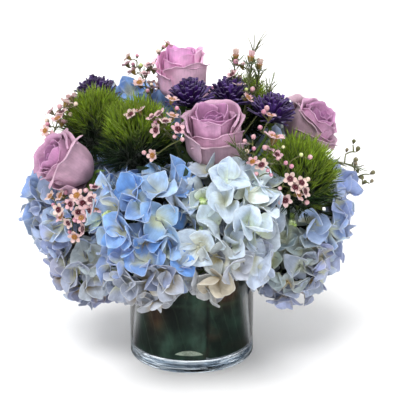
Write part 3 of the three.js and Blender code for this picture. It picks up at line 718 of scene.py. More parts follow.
class Tree:
    """Short words for adding and linking shader nodes."""

    def __init__(self, tree):
        self.tree = tree

    def node(self, kind, **values):
        """Adds a node and sets its options."""
        node = self.tree.nodes.new(kind)
        for key, value in values.items():
            setattr(node, key, value)
        return node

    def feed(self, socket, value):
        """Links a socket, or sets it to a plain value."""
        if isinstance(value, bpy.types.NodeSocket):
            self.tree.links.new(value, socket)
        else:
            socket.default_value = value

    def feed_all(self, node, values):
        """Feeds several sockets of a node by their names."""
        for label, value in values.items():
            self.feed(node.inputs[label], value)

    def math(self, operation, *values):
        """A Math node."""
        node = self.node("ShaderNodeMath", operation=operation)
        for socket, value in zip(node.inputs, values):
            self.feed(socket, value)
        return node.outputs[0]

    def ramp(self, value, low, high, to_low=0.0, to_high=1.0):
        """A smooth step between two values."""
        node = self.node("ShaderNodeMapRange", interpolation_type="SMOOTHSTEP")
        for socket, given in zip(node.inputs, (value, low, high, to_low, to_high)):
            self.feed(socket, given)
        return node.outputs[0]

    def about_one(self, value, low, high, depth):
        """A smooth step between two values, from a depth under one to as much over it."""
        return self.ramp(value, low, high, self.math("SUBTRACT", 1.0, depth), self.math("ADD", 1.0, depth))

    def mix(self, share, first, second):
        """A Mix node for colours."""
        node = self.node("ShaderNodeMix", data_type="RGBA")
        self.feed(node.inputs[0], share)
        self.feed(node.inputs[6], first)
        self.feed(node.inputs[7], second)
        return node.outputs[2]

    def parts(self, vector):
        """The X, Y and Z of a vector."""
        node = self.node("ShaderNodeSeparateXYZ")
        self.feed(node.inputs[0], vector)
        return node.outputs

    def stretched(self, vector, by):
        """A vector with each axis stretched by its own amount."""
        node = self.node("ShaderNodeVectorMath", operation="MULTIPLY")
        self.feed(node.inputs[0], vector)
        self.feed(node.inputs[1], by)
        return node.outputs[0]

    def lit(self, tint, light):
        """A colour made darker or lighter by an amount of light."""
        node = self.node("ShaderNodeVectorMath", operation="SCALE")
        self.feed(node.inputs[0], tint)
        self.feed(node.inputs["Scale"], light)
        return node.outputs[0]

    def own_place(self):
        """The object's own coordinates."""
        return self.node("ShaderNodeTexCoord").outputs["Object"]

    def rays(self):
        """What is known of the ray that meets the surface."""
        return self.node("ShaderNodeLightPath").outputs

    def noise(self, scale, detail, place=None, rough=0.5):
        """A Noise Texture on the object's own coordinates, unless it is given a place."""
        if place is None:
            place = self.own_place()
        node = self.node("ShaderNodeTexNoise")
        self.feed_all(node, {"Vector": place, "Scale": scale, "Detail": detail, "Roughness": rough})
        return node.outputs[0]

    def stored(self, name, output="Color"):
        """A value stored on the points of the mesh."""
        return self.node("ShaderNodeAttribute", attribute_name=name).outputs[output]

    def mirrored(self):
        """One where a ray has just been reflected by a gloss, and nought elsewhere."""
        rays = self.rays()
        return self.math("MULTIPLY", rays["Is Glossy Ray"], rays["Is Reflection Ray"])

    def bump(self, height, strength, distance):
        """A Bump node."""
        node = self.node("ShaderNodeBump")
        self.feed_all(node, {"Strength": strength, "Distance": distance, "Height": height})
        return node.outputs[0]


def new_group(name, inputs, outputs):
    """An empty node group with its named sockets."""
    group = bpy.data.node_groups.new(name, "ShaderNodeTree")
    for label, kind, value in inputs:
        item = group.interface.new_socket(name=label, in_out="INPUT", socket_type=kind)
        if value is not None:
            item.default_value = value
    for label, kind in outputs:
        group.interface.new_socket(name=label, in_out="OUTPUT", socket_type=kind)
    tree = Tree(group)
    return group, tree, tree.node("NodeGroupInput").outputs, tree.node("NodeGroupOutput").inputs


def petal_group():
    """Petal Surface: base tint, edges painted lighter as a painted highlight of light through the thin rim,
    veins and mottling, read from how the petal lies.
    """
    if "Petal Surface" in bpy.data.node_groups:
        return bpy.data.node_groups["Petal Surface"]
    group, tree, given, out = new_group(
        "Petal Surface",
        (("Tint", "NodeSocketColor", None), ("Heart", "NodeSocketColor", None),
         ("Lay", "NodeSocketVector", None), ("Heart Reach", "NodeSocketFloat", 0.4),
         ("Edge Light", "NodeSocketFloat", 0.3), ("Veins", "NodeSocketFloat", 18.0),
         ("Vein Depth", "NodeSocketFloat", 0.1), ("Mottle", "NodeSocketFloat", 0.12),
         ("Mottle Scale", "NodeSocketFloat", 160.0), ("Heart Cloud", "NodeSocketFloat", 0.34),
         ("Edge Start", "NodeSocketFloat", 0.9)),
        (("Color", "NodeSocketColor"), ("Height", "NodeSocketFloat")))
    across, along, chance = tree.parts(given["Lay"])
    cloud = tree.noise(given["Mottle Scale"], 5)
    drifted = tree.math("SUBTRACT", tree.noise(tree.math("MULTIPLY", given["Mottle Scale"], 0.5), 3), 0.5)
    wander = tree.math("MULTIPLY_ADD", drifted, given["Heart Cloud"], along)
    reach = tree.math("MULTIPLY", given["Heart Reach"], tree.math("MULTIPLY_ADD", chance, 0.7, 0.65))
    heart = tree.ramp(wander, reach, 0.02)
    body = tree.mix(heart, given["Tint"], given["Heart"])
    fan = tree.math("MULTIPLY", across, given["Veins"])
    drift = tree.math("MULTIPLY_ADD", cloud, 3.0, fan)
    wave = tree.math("ABSOLUTE", tree.math("SINE", drift))
    vein = tree.ramp(wave, 0.45, 0.0)
    mottle = tree.about_one(cloud, 0.32, 0.68, given["Mottle"])
    lift = tree.math("MULTIPLY_ADD", chance, 0.36, 0.82)
    shade = tree.math("SUBTRACT", 1.0, tree.math("MULTIPLY", vein, given["Vein Depth"]))
    light = tree.math("MULTIPLY", tree.math("MULTIPLY", mottle, lift), shade)
    # Lighter edges: a painted highlight where light shines through the thin rim
    side = tree.math("MAXIMUM", tree.math("ABSOLUTE", across), along)
    edge = tree.math("MULTIPLY", tree.ramp(side, given["Edge Start"], 1.0), given["Edge Light"])
    tree.feed(out["Color"], tree.mix(edge, tree.lit(body, light), (1, 1, 1, 1)))
    tree.feed(out["Height"], tree.math("SUBTRACT", tree.math("MULTIPLY", cloud, 0.6), vein))
    return group


def new_material(name):
    """A new material, its tree, and the shader that makes its surface."""
    material = bpy.data.materials.new(name)
    material.use_nodes = True
    return material, Tree(material.node_tree), material.node_tree.nodes["Principled BSDF"]


def petal_material(name, reach, edge, veins, depth, mottle, scale, rough=0.55,
                   glow=0.35, bump=0.25, sheen=0.15, cloud=0.34, edge_start=0.92):
    """A petal: the shared surface with its own values, and light that passes through it."""
    material, tree, shader = new_material(name)
    surface = tree.node("ShaderNodeGroup", node_tree=petal_group())
    tree.feed_all(surface, {
        "Tint": tree.stored("tint"), "Heart": tree.stored("heart"), "Lay": tree.stored("lay", "Vector"),
        "Heart Reach": reach, "Heart Cloud": cloud, "Edge Light": edge, "Edge Start": edge_start,
        "Veins": veins, "Vein Depth": depth, "Mottle": mottle, "Mottle Scale": scale,
    })
    tree.feed_all(shader, {
        "Base Color": surface.outputs["Color"],
        "Normal": tree.bump(surface.outputs["Height"], bump, SKIN_RELIEF),
        "Roughness": rough, "Specular IOR Level": 0.35, "Sheen Weight": sheen, "Sheen Roughness": 0.5,
        "Subsurface Weight": glow, "Subsurface Radius": (1.0, 1.0, 1.0), "Subsurface Scale": 0.003,
    })
    return material


def green_group():
    """Green Skin: streaks, darker dimples and fine grain for stems, leaves and moss."""
    if "Green Skin" in bpy.data.node_groups:
        return bpy.data.node_groups["Green Skin"]
    group, tree, given, out = new_group(
        "Green Skin",
        (("Tint", "NodeSocketColor", None), ("Lay", "NodeSocketVector", None),
         ("Streak", "NodeSocketFloat", 0.2), ("Grain", "NodeSocketFloat", 400.0)),
        (("Color", "NodeSocketColor"), ("Height", "NodeSocketFloat")))
    streak = tree.noise(3.0, 3, tree.stretched(given["Lay"], (5.0, 1.6, 3.0)))
    grain = tree.noise(given["Grain"], 3)
    both = tree.math("ADD", streak, grain)
    light = tree.about_one(both, 0.7, 1.3, given["Streak"])
    tree.feed(out["Color"], tree.lit(given["Tint"], light))
    tree.feed(out["Height"], both)
    return group


def green_skin(tree, streak, grain):
    """The Green Skin placed in a material, with its own streaks and grain."""
    skin = tree.node("ShaderNodeGroup", node_tree=green_group())
    tree.feed_all(skin, {"Tint": tree.stored("tint"), "Lay": tree.stored("lay", "Vector"),
                         "Streak": streak, "Grain": grain})
    return skin.outputs


def green_material(name, streak, grain, rough):
    """A stem or other green part."""
    if name in bpy.data.materials:
        return bpy.data.materials[name]
    material, tree, shader = new_material(name)
    skin = green_skin(tree, streak, grain)
    tree.feed_all(shader, {"Base Color": skin["Color"], "Roughness": rough,
                           "Normal": tree.bump(skin["Height"], 0.3, SKIN_RELIEF)})
    return material


def glass_material():
    """Clear cool glass, with painted shade beside the leaves and at its outline, and painted reflections
    streaked through its thick foot.
    """
    material, tree, shader = new_material("Clear Glass")
    place = tree.own_place()
    foot = tree.ramp(tree.parts(place)[2], *GLASS_FOOT)
    stretched_place = tree.stretched(place, (28, 28, 330))
    # Dark and pale streaks in the foot: painted reflections
    streak = tree.ramp(tree.noise(1.0, 2, stretched_place), 0.46, 0.56)
    thick = tree.mix(streak, GLASS_PAINTED_DARK_REFLECTION, GLASS_PAINTED_PALE_REFLECTION)
    # The glass is painted darker where it is seen slantwise: painted shade beside the leaves and at its
    # outline
    slant = tree.node("ShaderNodeLayerWeight")
    slant.inputs["Blend"].default_value = 0.5
    painted_shade_beside_leaf = tree.ramp(slant.outputs["Facing"], 0.56, 0.63)
    outline = tree.ramp(slant.outputs["Facing"], 0.69, 0.74)
    wall = tree.mix(outline, tree.mix(painted_shade_beside_leaf, GLASS_WALL, GLASS_PAINTED_SHADE_BESIDE_LEAF), GLASS_PAINTED_SHADE_OUTLINE)
    drawn = tree.math("MULTIPLY", tree.noise(0.8, 2, stretched_place), foot)
    ripple = tree.math("MULTIPLY_ADD", tree.noise(30, 1), 0.12, drawn)
    tree.feed_all(shader, {
        "Base Color": tree.mix(foot, wall, thick),
        "Roughness": tree.ramp(tree.noise(22, 3), 0.3, 0.8, 0.0, 0.02),
        "Normal": tree.bump(ripple, 0.4, 0.0013),
        "Transmission Weight": 1.0, "IOR": 1.5, "Specular IOR Level": 0.15, "Metallic": 0.0,
    })
    rays = tree.rays()
    clear = tree.node("ShaderNodeBsdfTransparent")
    clear.inputs["Color"].default_value = (0.9, 0.93, 0.94, 1)
    passed = tree.node("ShaderNodeMixShader")
    tree.feed(passed.inputs[0], tree.math("MAXIMUM", rays["Is Shadow Ray"], rays["Is Diffuse Ray"]))
    tree.feed(passed.inputs[1], shader.outputs[0])
    tree.feed(passed.inputs[2], clear.outputs[0])
    tree.feed(material.node_tree.nodes["Material Output"].inputs["Surface"], passed.outputs[0])
    return material


def leaf_material():
    """Dark glossy lining leaf: side veins off a midrib, and brown patches where it is bruised."""
    material, tree, shader = new_material("Lining Leaf")
    across, along, _ = tree.parts(tree.stored("lay", "Vector"))
    cloud = tree.noise(38, 5)
    side = tree.math("ABSOLUTE", tree.math("SUBTRACT", along, 0.5))
    slant = tree.math("MULTIPLY_ADD", across, 26.0, tree.math("MULTIPLY", side, -9.0))
    wander = tree.math("MULTIPLY_ADD", cloud, 2.4, slant)
    wave = tree.math("ABSOLUTE", tree.math("SINE", wander))
    vein = tree.ramp(wave, 0.2, 0.0)
    rib = tree.ramp(side, 0.03, 0.0)
    lines = tree.math("MAXIMUM", vein, rib)
    skin = green_skin(tree, streak=0.45, grain=90)
    veined = tree.mix(tree.math("MULTIPLY", lines, 0.16), skin["Color"], (0.07, 0.13, 0.07, 1))
    patch = tree.math("MULTIPLY", tree.ramp(tree.noise(24, 3), 0.6, 0.7), 0.2)
    brown = tree.mix(patch, veined, (*colour(*LEAF_BROWN), 1))
    shade = tree.ramp(tree.noise(30, 2, rough=0.3), 0.45, 0.66, 0.0, 0.5)
    height = tree.math("SUBTRACT", tree.math("MULTIPLY", cloud, 0.5), lines)
    tree.feed_all(shader, {
        "Base Color": tree.mix(shade, brown, (*colour(*LEAF_DARK), 1)),
        "Normal": tree.bump(height, 0.35, 0.0006),
        "Roughness": 0.42, "Specular IOR Level": 0.15,
    })
    return material


def foam_material():
    """Wet floral foam: dark green, full of pin holes."""
    material, tree, shader = new_material("Wet Foam")
    pores = tree.noise(900, 2)
    cloud = tree.noise(60, 3)
    shade = tree.ramp(tree.math("ADD", pores, cloud), 0.8, 1.2)
    deep = (*colour(24, 36, 22), 1)
    wet = (*colour(52, 74, 40), 1)
    tree.feed_all(shader, {"Base Color": tree.mix(shade, deep, wet), "Roughness": 0.8,
                           "Normal": tree.bump(pores, 0.8, 0.0008)})
    return material


def stage_material():
    """Pale seamless paper with a faint tooth, dimmed in front of the vase where the glass mirrors it."""
    material, tree, shader = new_material("Pale Paper")
    tooth = tree.noise(300, 2)
    tint = tree.mix(tooth, (0.95, 0.95, 0.95, 1), (0.97, 0.97, 0.97, 1))
    rays = tree.rays()
    glossed = tree.math("MINIMUM", rays["Glossy Depth"], 1.0)
    front = tree.math("MULTIPLY", glossed, tree.ramp(tree.parts(tree.own_place())[1], 0.05, -0.02))
    painted_shade = tree.math("MULTIPLY", front, MIRROR_DIM)
    through = tree.math("MULTIPLY", rays["Is Transmission Ray"], tree.math("SUBTRACT", 1.0, front))
    tree.feed_all(shader, {
        "Base Color": tree.mix(painted_shade, tint, (0, 0, 0, 1)),
        "Emission Color": (0.93, 0.96, 1.0, 1),
        "Emission Strength": tree.math("MULTIPLY", through, GLASS_GLOW),
        "Normal": tree.bump(tooth, 0.05, 0.0003),
        "Roughness": 0.7, "Specular IOR Level": 0.2,
    })
    return material


def stalk(gather, points, radius, tint, sides=10):
    """A smooth stem that thins a little from its first point to its last."""
    path = curve(points, 7)
    radii = radius * np.linspace(1.0, 0.9, len(path))
    knots = 1 + 0.05 * np.sin(np.arange(len(path)) * 2.3)
    gather.add(tube(path, radii * knots, sides), tint)


def finish_stem(stem, flower):
    """Makes a gathered stem the piece that stands for its flower's own stem."""
    skin = green_material("Stem Skin", streak=0.28, grain=500, rough=0.5)
    stem.finish(flower + "_stalk", [flower + "_stem"], "stem_green", skin, 60)


# Hydrangeas

def sepal(rnd, cells):
    """One broad wavy hydrangea sepal, one unit long."""
    width = rnd.uniform(0.94, 1.16)
    cup = rnd.uniform(-0.2, 0.45)
    hollow = rnd.uniform(-0.1, 0.5)
    droop = rnd.uniform(0.0, 0.45)
    wave = rnd.uniform(0.05, 0.12)
    phase = any_angle(rnd)
    fold = rnd.uniform(0.0, 0.14)
    lean = rnd.uniform(-0.16, 0.16)

    def form(u, v):
        s = 0.02 + 0.96 * v
        outline = np.sin(np.pi * s ** 1.08) ** 0.6
        half = 0.5 * width * outline
        x = u * half + lean * v ** 2
        y = v * (1 + 0.05 * (1 - u ** 2))
        z = cup * v ** 1.6 - droop * v ** 3
        z = z + hollow * (u * outline) ** 2
        z = z + wave * np.abs(u) ** 1.4 * np.sin(6 * v + phase + 1.4 * u) * np.minimum(1, 2 * v)
        z = z - fold * (1 - np.abs(u)) * np.sin(np.pi * v)
        return np.column_stack((x, y, z))

    return sheet(cells, cells + 1, form, 0.02, rnd.random())


def floret_shapes(rnd, kinds, cells, most_lift=0.7):
    """Several florets, each of four overlapping sepals, one unit from middle to tip."""
    shapes = []
    for _ in range(kinds):
        lift = rnd.uniform(0.0, most_lift)
        pinwheel = rnd.choice((-1, 1)) * rnd.uniform(0.05, 0.4)
        sepals = []
        for k in range(4):
            upper = k % 2
            tilt = lift + rnd.uniform(-0.3, 0.4) + 0.12 * upper
            roll = turn_about("Y", pinwheel + rnd.uniform(-0.3, 0.3))
            turn = turn_about("Z", k * math.pi / 2 + rnd.uniform(-0.2, 0.2)) @ turn_about("X", tilt) @ roll
            size = rnd.uniform(0.82, 0.98) if upper else rnd.uniform(0.92, 1.04)
            sepals.append(sepal(rnd, cells).placed(turn, (0, 0, 0.03 * upper), size / 1.07))
        shapes.append(joined(sepals))
    return shapes


def clear_of(place, others, gap):
    """Whether a place keeps its distance from each ball in a list."""
    for middle, radius in others:
        if math.dist(place, middle) < radius + gap:
            return False
    return True


def neighbours(own):
    """The balls that florets of one head stay out of: blooms, and the lobes of the other heads."""
    found = []
    for rose in ROSES.values():
        up, radius = ROSE_BALL
        middle = np.array(rose["at"]) + unit(rose["facing"]) * up * rose["size"]
        found.append((middle, radius * rose["size"]))
    for bloom in DIANTHUS.values():
        found.append((bloom["at"], bloom["reach"] - DIANTHUS_OVERLAP))
    for bloom in ASTERS.values():
        up, radius = ASTER_BALL
        found.append((np.array(bloom["at"]) + unit(bloom["facing"]) * up, radius))
    for name, head in HEADS.items():
        if name != own:
            for middle, reach in head["lobes"]:
                found.append((middle, reach - LOBE_OVERLAP))
    return found


def outside_vase(place, vase):
    """Whether a place is clear of the glass, in millimetres."""
    beside = math.hypot(place[0], place[1]) > vase.radius / MM + GLASS_GAP
    return beside or place[2] > vase.height / MM + GLASS_GAP


def under_hem(place, hem):
    """Whether a place hangs under a head's hem, level past its X and falling away before it."""
    return hem is not None and place[2] < hem[1] + HEM_SLOPE * min(0, place[0] - hem[0])


def top_at(place, head):
    """The height that florets of a head keep to, higher near the middle of the bouquet."""
    middle, reach, slope = TOP_RISE
    return head.get("top", math.inf) + slope * max(0, reach - abs(place[0] - middle))


class FLOWERS_OT_add_hydrangeas(bpy.types.Operator):
    """Add the six hydrangea heads with their stems"""
    bl_idname = "flowers.add_hydrangeas"
    bl_label = "Add Hydrangeas"

    outer_count = 50
    inner_count = 20

    def execute(self, context):
        vase, _, colours = settings(context)
        rnd = random.Random("florets")
        outer = floret_shapes(rnd, 18, 5)
        inner = floret_shapes(rnd, 3, 3)
        broad = floret_shapes(rnd, 6, 7, 0.55)
        button = ball(0.055, 6, 4)
        bud = ball(1.0, 8, 6, stretch=1.2)
        core = ball(1.0, 20, 14)
        material = petal_material("Hydrangea Sepal", reach=0.62, edge=0.2, veins=15, depth=0.09,
                                  mottle=0.18, scale=110, cloud=1.0)
        for name, head in HEADS.items():
            rnd = random.Random("hydrangea " + name)
            gather = Gather()
            upper = getattr(colours, head["upper"])
            lower = getattr(colours, head["lower"])
            others = neighbours(name)
            large = [(at, 0.55 * radius) for at, _, radius, _ in head.get("florets", ())]
            # Each layer: shapes, count, share of the reach, sink, painted shade that darkens its florets,
            # size, gap, what it leaves free
            layers = (
                (outer, self.outer_count, 1.0, -8, 1.0, 1.0, BLOOM_GAP, large),
                # The inner florets are painted darker: painted shade deep inside the head
                (inner, self.inner_count, 0.70, -2, 0.36, 0.8, 0, ()),
            )
            for number, (middle, reach) in enumerate(head["lobes"]):
                twins = [(at, far - TWIN_OVERLAP) for k, (at, far) in enumerate(head["lobes"]) if k != number]
                middle = np.array(middle, float)
                # A dark ball in each lobe, made darker still: painted shade between the florets
                gather.add(core.placed(None, middle - (0, 0, 4), 0.42 * reach), colours.core * 0.6)
                for shapes, count, depth, sink, painted_shade, size, gap, free in layers:
                    for way in spread(count, rnd, 0.11):
                        place = middle + way * (reach * depth + sink + rnd.uniform(-4.5, 3.0))
                        if not clear_of(place, twins, 0):
                            continue
                        top = top_at(place, head)
                        if place[2] > top:
                            place[2] = top - 0.3 * (place[2] - top) * rnd.random()
                        if not (clear_of(place, others, gap) and clear_of(place, free, 0)):
                            continue
                        if not outside_vase(place, vase) or under_hem(place, head.get("hem")):
                            continue
                        radius = reach * head["share"] * size * rnd.uniform(0.8, 1.0)
                        tip = unit(way + stray(rnd, 0.42))
                        tint = self.tone_at(rnd, head, place, upper, lower, colours)
                        heart = self.heart_at(rnd, head, place, middle, tint, colours)
                        self.add_floret(gather, rnd, rnd.choice(shapes), button, middle, place, tip,
                                        radius, tint * painted_shade, heart * painted_shade, colours)
            for at, facing, radius, shade in head.get("florets", ()):
                middle = np.array(min(head["lobes"], key=lambda lobe: math.dist(lobe[0], at))[0], float)
                place = np.array(at, float)
                tint = between(getattr(colours, shade), colours.icy, rnd.uniform(0.1, 0.4))
                heart = self.heart_at(rnd, head, place, middle, tint, colours)
                self.add_floret(gather, rnd, rnd.choice(broad), button, middle, place, unit(facing),
                                radius, tint, heart, colours)
            middle, reach = head["lobes"][0]
            for way in head["buds"]:
                way = unit(way)
                self.add_buds(gather, rnd, bud, np.array(middle) + way * (reach - 8), way, colours)
            slot = "hydrangea_white" if name == "front_right" else "hydrangea_blue"
            gather.finish("hydrangea_" + name + "_head", ["hydrangea_" + name], slot, material)
            stem = Gather()
            stalk(stem, head["stem"], HYDRANGEA_STEM, colours.stem, 12)
            finish_stem(stem, "hydrangea_" + name)
        return {"FINISHED"}

    def tone_at(self, rnd, head, place, upper, lower, colours):
        """The colour of a floret, paler or greyer low on the head."""
        share = (head["turn_height"] - place[2]) / 24 + 0.5 + rnd.uniform(-0.3, 0.3)
        tint = between(upper, lower, share)
        tint = between(tint, colours.icy, rnd.choice((0, 0.1, 0.25, 0.4, 0.6)) * head.get("pale", 1))
        tint = between(tint, colours.heart, rnd.choice((0, 0, 0, 0.15, 0.3)))
        tint = between(tint, colours.lilac, rnd.choice((0, 0, 0.15, 0.4)))
        for name, share in self.blushes_at(head, place):
            tint = between(tint, getattr(colours, name), share * (0.5 if name == "heart_low" else 1))
        return tint * rnd.uniform(0.82, 1.06)

    def blushes_at(self, head, place):
        """The colours that a head turns to near a place, each with its strength there."""
        found = []
        for at, reach, name, strength in head.get("blushes", ()):
            found.append((name, strength * math.exp(-(math.dist(place, at) / reach) ** 2)))
        return found

    def heart_at(self, rnd, head, place, middle, tint, colours):
        """The colour of a floret's heart, green when young, tan or olive when old and low."""
        aged = rnd.uniform(0, 0.6) + 0.8 * (place[2] < middle[2] - 14)
        heart = between(colours.heart, colours.heart_low, aged)
        for name, share in self.blushes_at(head, place):
            if name == "heart_low":
                heart = between(heart, colours.heart_low, 1.3 * share)
        return between(heart, tint, rnd.uniform(0.0, 0.3))

    def add_floret(self, gather, rnd, shape, button, middle, place, tip, radius, tint, heart, colours):
        """One floret on its stalk, facing the way its tip points."""
        turn = turned_to(tip, any_angle(rnd))
        gather.add(shape.placed(turn, place, radius), tint, heart)
        gather.add(button.placed(turn, place + tip * 0.035 * radius, radius), heart * 0.9)
        root = middle + unit(place - middle) * 10
        gather.add(tube(curve((root, (root + place) / 2 + tip * 1.5, place), 2), 1.1, 3), colours.stem * 0.6)

    def add_buds(self, gather, rnd, bud, place, way, colours):
        """A small cluster of unopened green buds."""
        for _ in range(9):
            off = unit(way + stray(rnd, 0.9))
            tint = between(colours.bud_green, colours.heart, rnd.random() * 0.6)
            at = place + off * rnd.uniform(3.5, 6.5)
            gather.add(bud.placed(turned_to(off), at, rnd.uniform(1.9, 2.8)), tint)
            gather.add(tube((place - way * 8, at), 0.5, 4), colours.stem)


# Roses

# Each ring of petals: count, belly radius, height, half angle, outward lean, lip radius, lip turn, sag
ROSE_RINGS = (
    (2, 2.6, 41.0, 125, -0.6, 0.8, 14, 0.0),
    (3, 5.4, 44.0, 105, -0.4, 1.2, 24, 0.0),
    (3, 9.0, 46.5, 92, 0.2, 1.8, 40, 0.0),
    (3, 13.2, 48.5, 84, 0.6, 2.4, 60, 0.03),
    (3, 17.2, 48.0, 80, 0.9, 3.0, 84, 0.12),
    (3, 20.6, 45.5, 74, 1.3, 4.0, 104, 0.26),
    (4, 22.8, 41.0, 58, 1.6, 4.2, 118, 0.34),
)
ROSE_NECK = 4.0
ROSE_LIP = 0.70


def rose_petal(rnd, ring, angle, low_side, cells, thickness, rose):
    """One petal wrapped round the rose, narrow at its base, its lip turned outward in a soft roll."""
    _, belly, height, half, lean, lip_radius, lip_turn, sag = ring
    belly *= rnd.uniform(0.95, 1.06)
    height *= rose["tall"] * rnd.uniform(0.92, 1.05) * (1 - sag * max(0, math.cos(angle - low_side)))
    half = math.radians(half) * rnd.uniform(0.88, 1.08)
    lean *= rose["open"]
    lip_radius *= rnd.uniform(0.7, 1.3)
    lip_turn = math.radians(lip_turn) * rnd.uniform(0.6, 1.3) * rose["open"]
    phase = any_angle(rnd)
    ripple = rnd.uniform(0.4, 1.4) * belly / 16
    side = rnd.uniform(0.5, 3.5) * belly / 24 * rose["open"]
    slope = rnd.uniform(-0.08, 0.08)
    ragged = rnd.uniform(0.01, 0.035)
    crumple = rnd.uniform(0.3, 1.0) * belly / 20
    spiral = 0.5 + 0.06 * belly

    def form(u, v):
        rise = np.minimum(1, v / ROSE_LIP)
        roll = np.clip((v - ROSE_LIP) / (1 - ROSE_LIP), 0, 1)
        swell = np.sin(np.pi / 2 * np.minimum(1, rise / 0.55)) ** 0.8
        edge = np.abs(u)
        radius = ROSE_NECK + (belly - ROSE_NECK) * swell + lean * rise ** 2 + spiral * u
        turn = roll * lip_turn * (0.75 + 0.45 * edge)
        radius = radius + lip_radius * (1 - np.cos(turn))
        radius = radius + side * np.clip((edge - 0.55) / 0.45, 0, 1) ** 2 * rise ** 2
        radius = radius + ripple * np.sin(3.7 * u + phase) * v ** 3
        radius = radius + crumple * np.sin(8.3 * u + 3 * phase) * roll ** 1.5
        dip = 0.11 * edge ** 3 - 0.05 * (1 - edge) ** 2 + slope * u + ragged * np.sin(6.5 * u + 2 * phase)
        dip = dip + 0.5 * ragged * np.sin(14 * u + phase) + 0.03 * np.exp(-(u * 7) ** 2) * belly / 24
        crest = 1 - dip * rise ** 1.5
        z = (height - 0.8 * lip_radius) * rise * crest + lip_radius * np.sin(turn)
        swing = angle + u * half * (0.5 + 0.5 * np.sin(np.pi / 2 * np.minimum(1, rise / 0.6)))
        return np.column_stack((radius * np.cos(swing), radius * np.sin(swing), z))

    return sheet(cells, cells + 2, form, thickness, rnd.random())


class FLOWERS_OT_add_roses(bpy.types.Operator):
    """Add the five mauve roses with their stems"""
    bl_idname = "flowers.add_roses"
    bl_label = "Add Roses"

    def execute(self, context):
        _, sizes, colours = settings(context)
        material = petal_material("Rose Petal", reach=0.48, edge=0.03, veins=26, depth=0.08, mottle=0.18,
                                  scale=90, glow=0.25, bump=0.3, sheen=0.1, edge_start=0.8)
        for name, rose in ROSES.items():
            rnd = random.Random("rose " + name)
            gather = Gather()
            base = np.array(rose["at"], float)
            facing = unit(rose["facing"])
            turn = turned_to(facing, rose["spin"])
            low = turn.T @ np.array((facing[0], facing[1], 0))
            low_side = math.atan2(low[1], low[0])
            start = 0.0
            for level, ring in enumerate(ROSE_RINGS):
                start += 1.1
                depth = level / (len(ROSE_RINGS) - 1)
                for k in range(ring[0]):
                    angle = start + 2 * math.pi * k / ring[0] + rnd.uniform(-0.12, 0.12)
                    petal = rose_petal(rnd, ring, angle, low_side, 15, sizes.petal_thickness / MM, rose)
                    inner = between(colours.rose_heart, colours.rose, 0.3 + 0.7 * depth)
                    grey = rose["grey"] * rnd.uniform(0.5, 1.1)
                    tint = between(inner, colours.rose_outer, (depth - 0.5) / 0.5 * grey)
                    heart = between(colours.rose_heart, tint, 0.1 + 0.6 * depth)
                    heart = between(heart, colours.rose_foot, depth ** 3 * rose["grey"])
                    petal = petal.placed(turn, base, rose["size"])
                    # The rose's light scales its colours: painted light
                    gather.add(petal, tint * rose["light"], heart * rose["light"])
            gather.finish("rose_" + name + "_bloom", ["rose_" + name], "rose_mauve", material, 70)
            self.add_stem(name, rose, base, facing, turn, rnd, colours)
        return {"FINISHED"}

    def add_stem(self, name, rose, base, facing, turn, rnd, colours):
        """The stem, the swelling under the bloom and five green sepals."""
        stem = Gather()
        size = rose["size"]
        points = (base - facing * 2, base - facing * 14, rose["bend"], rose["foot"])
        stalk(stem, points, ROSE_STEM, colours.stem, 12)
        swell = ((-9.5, 2.6), (-7.5, 4.2), (-4.5, 6.2), (-2.0, 6.6), (-0.6, 5.0))
        stem.add(stacked(swell, 14, base, facing, size), colours.stem)
        for k in range(5):
            reach = rnd.uniform(13, 17)
            droop = rnd.uniform(0.1, 0.7)

            def form(u, v):
                half = 3.2 * (1 - v) ** 0.7 + 0.15
                rise = 4.5 * np.sin(np.pi * v * 0.8) - droop * 8 * v ** 2
                return np.column_stack((u * half, 4 + v * reach, -1.5 + rise - 0.5 * u ** 2))

            blade = sheet(4, 8, form, 0.5, rnd.random())
            spin = turn_about("Z", 2 * math.pi * k / 5)
            stem.add(blade.placed(turn @ spin, base, size), between(colours.stem, colours.moss, 0.3))
        finish_stem(stem, "rose_" + name)


# Dianthus

def blade_shapes(rnd, kinds, thick, curl):
    """Thin three-sided hairs, one unit long, each bent its own way."""
    shapes = []
    for _ in range(kinds):
        bend = rnd.uniform(0.4, 1.0) * curl
        back = rnd.uniform(-0.5, 0.5) * curl
        row = []
        for t in (0, 0.5, 1):
            row.append((bend * t * t, back * t * t * t, t))
        radii = (thick * 0.8, thick, thick * 0.12)
        shapes.append(tube(row, radii, 3, rnd.random()))
    return shapes


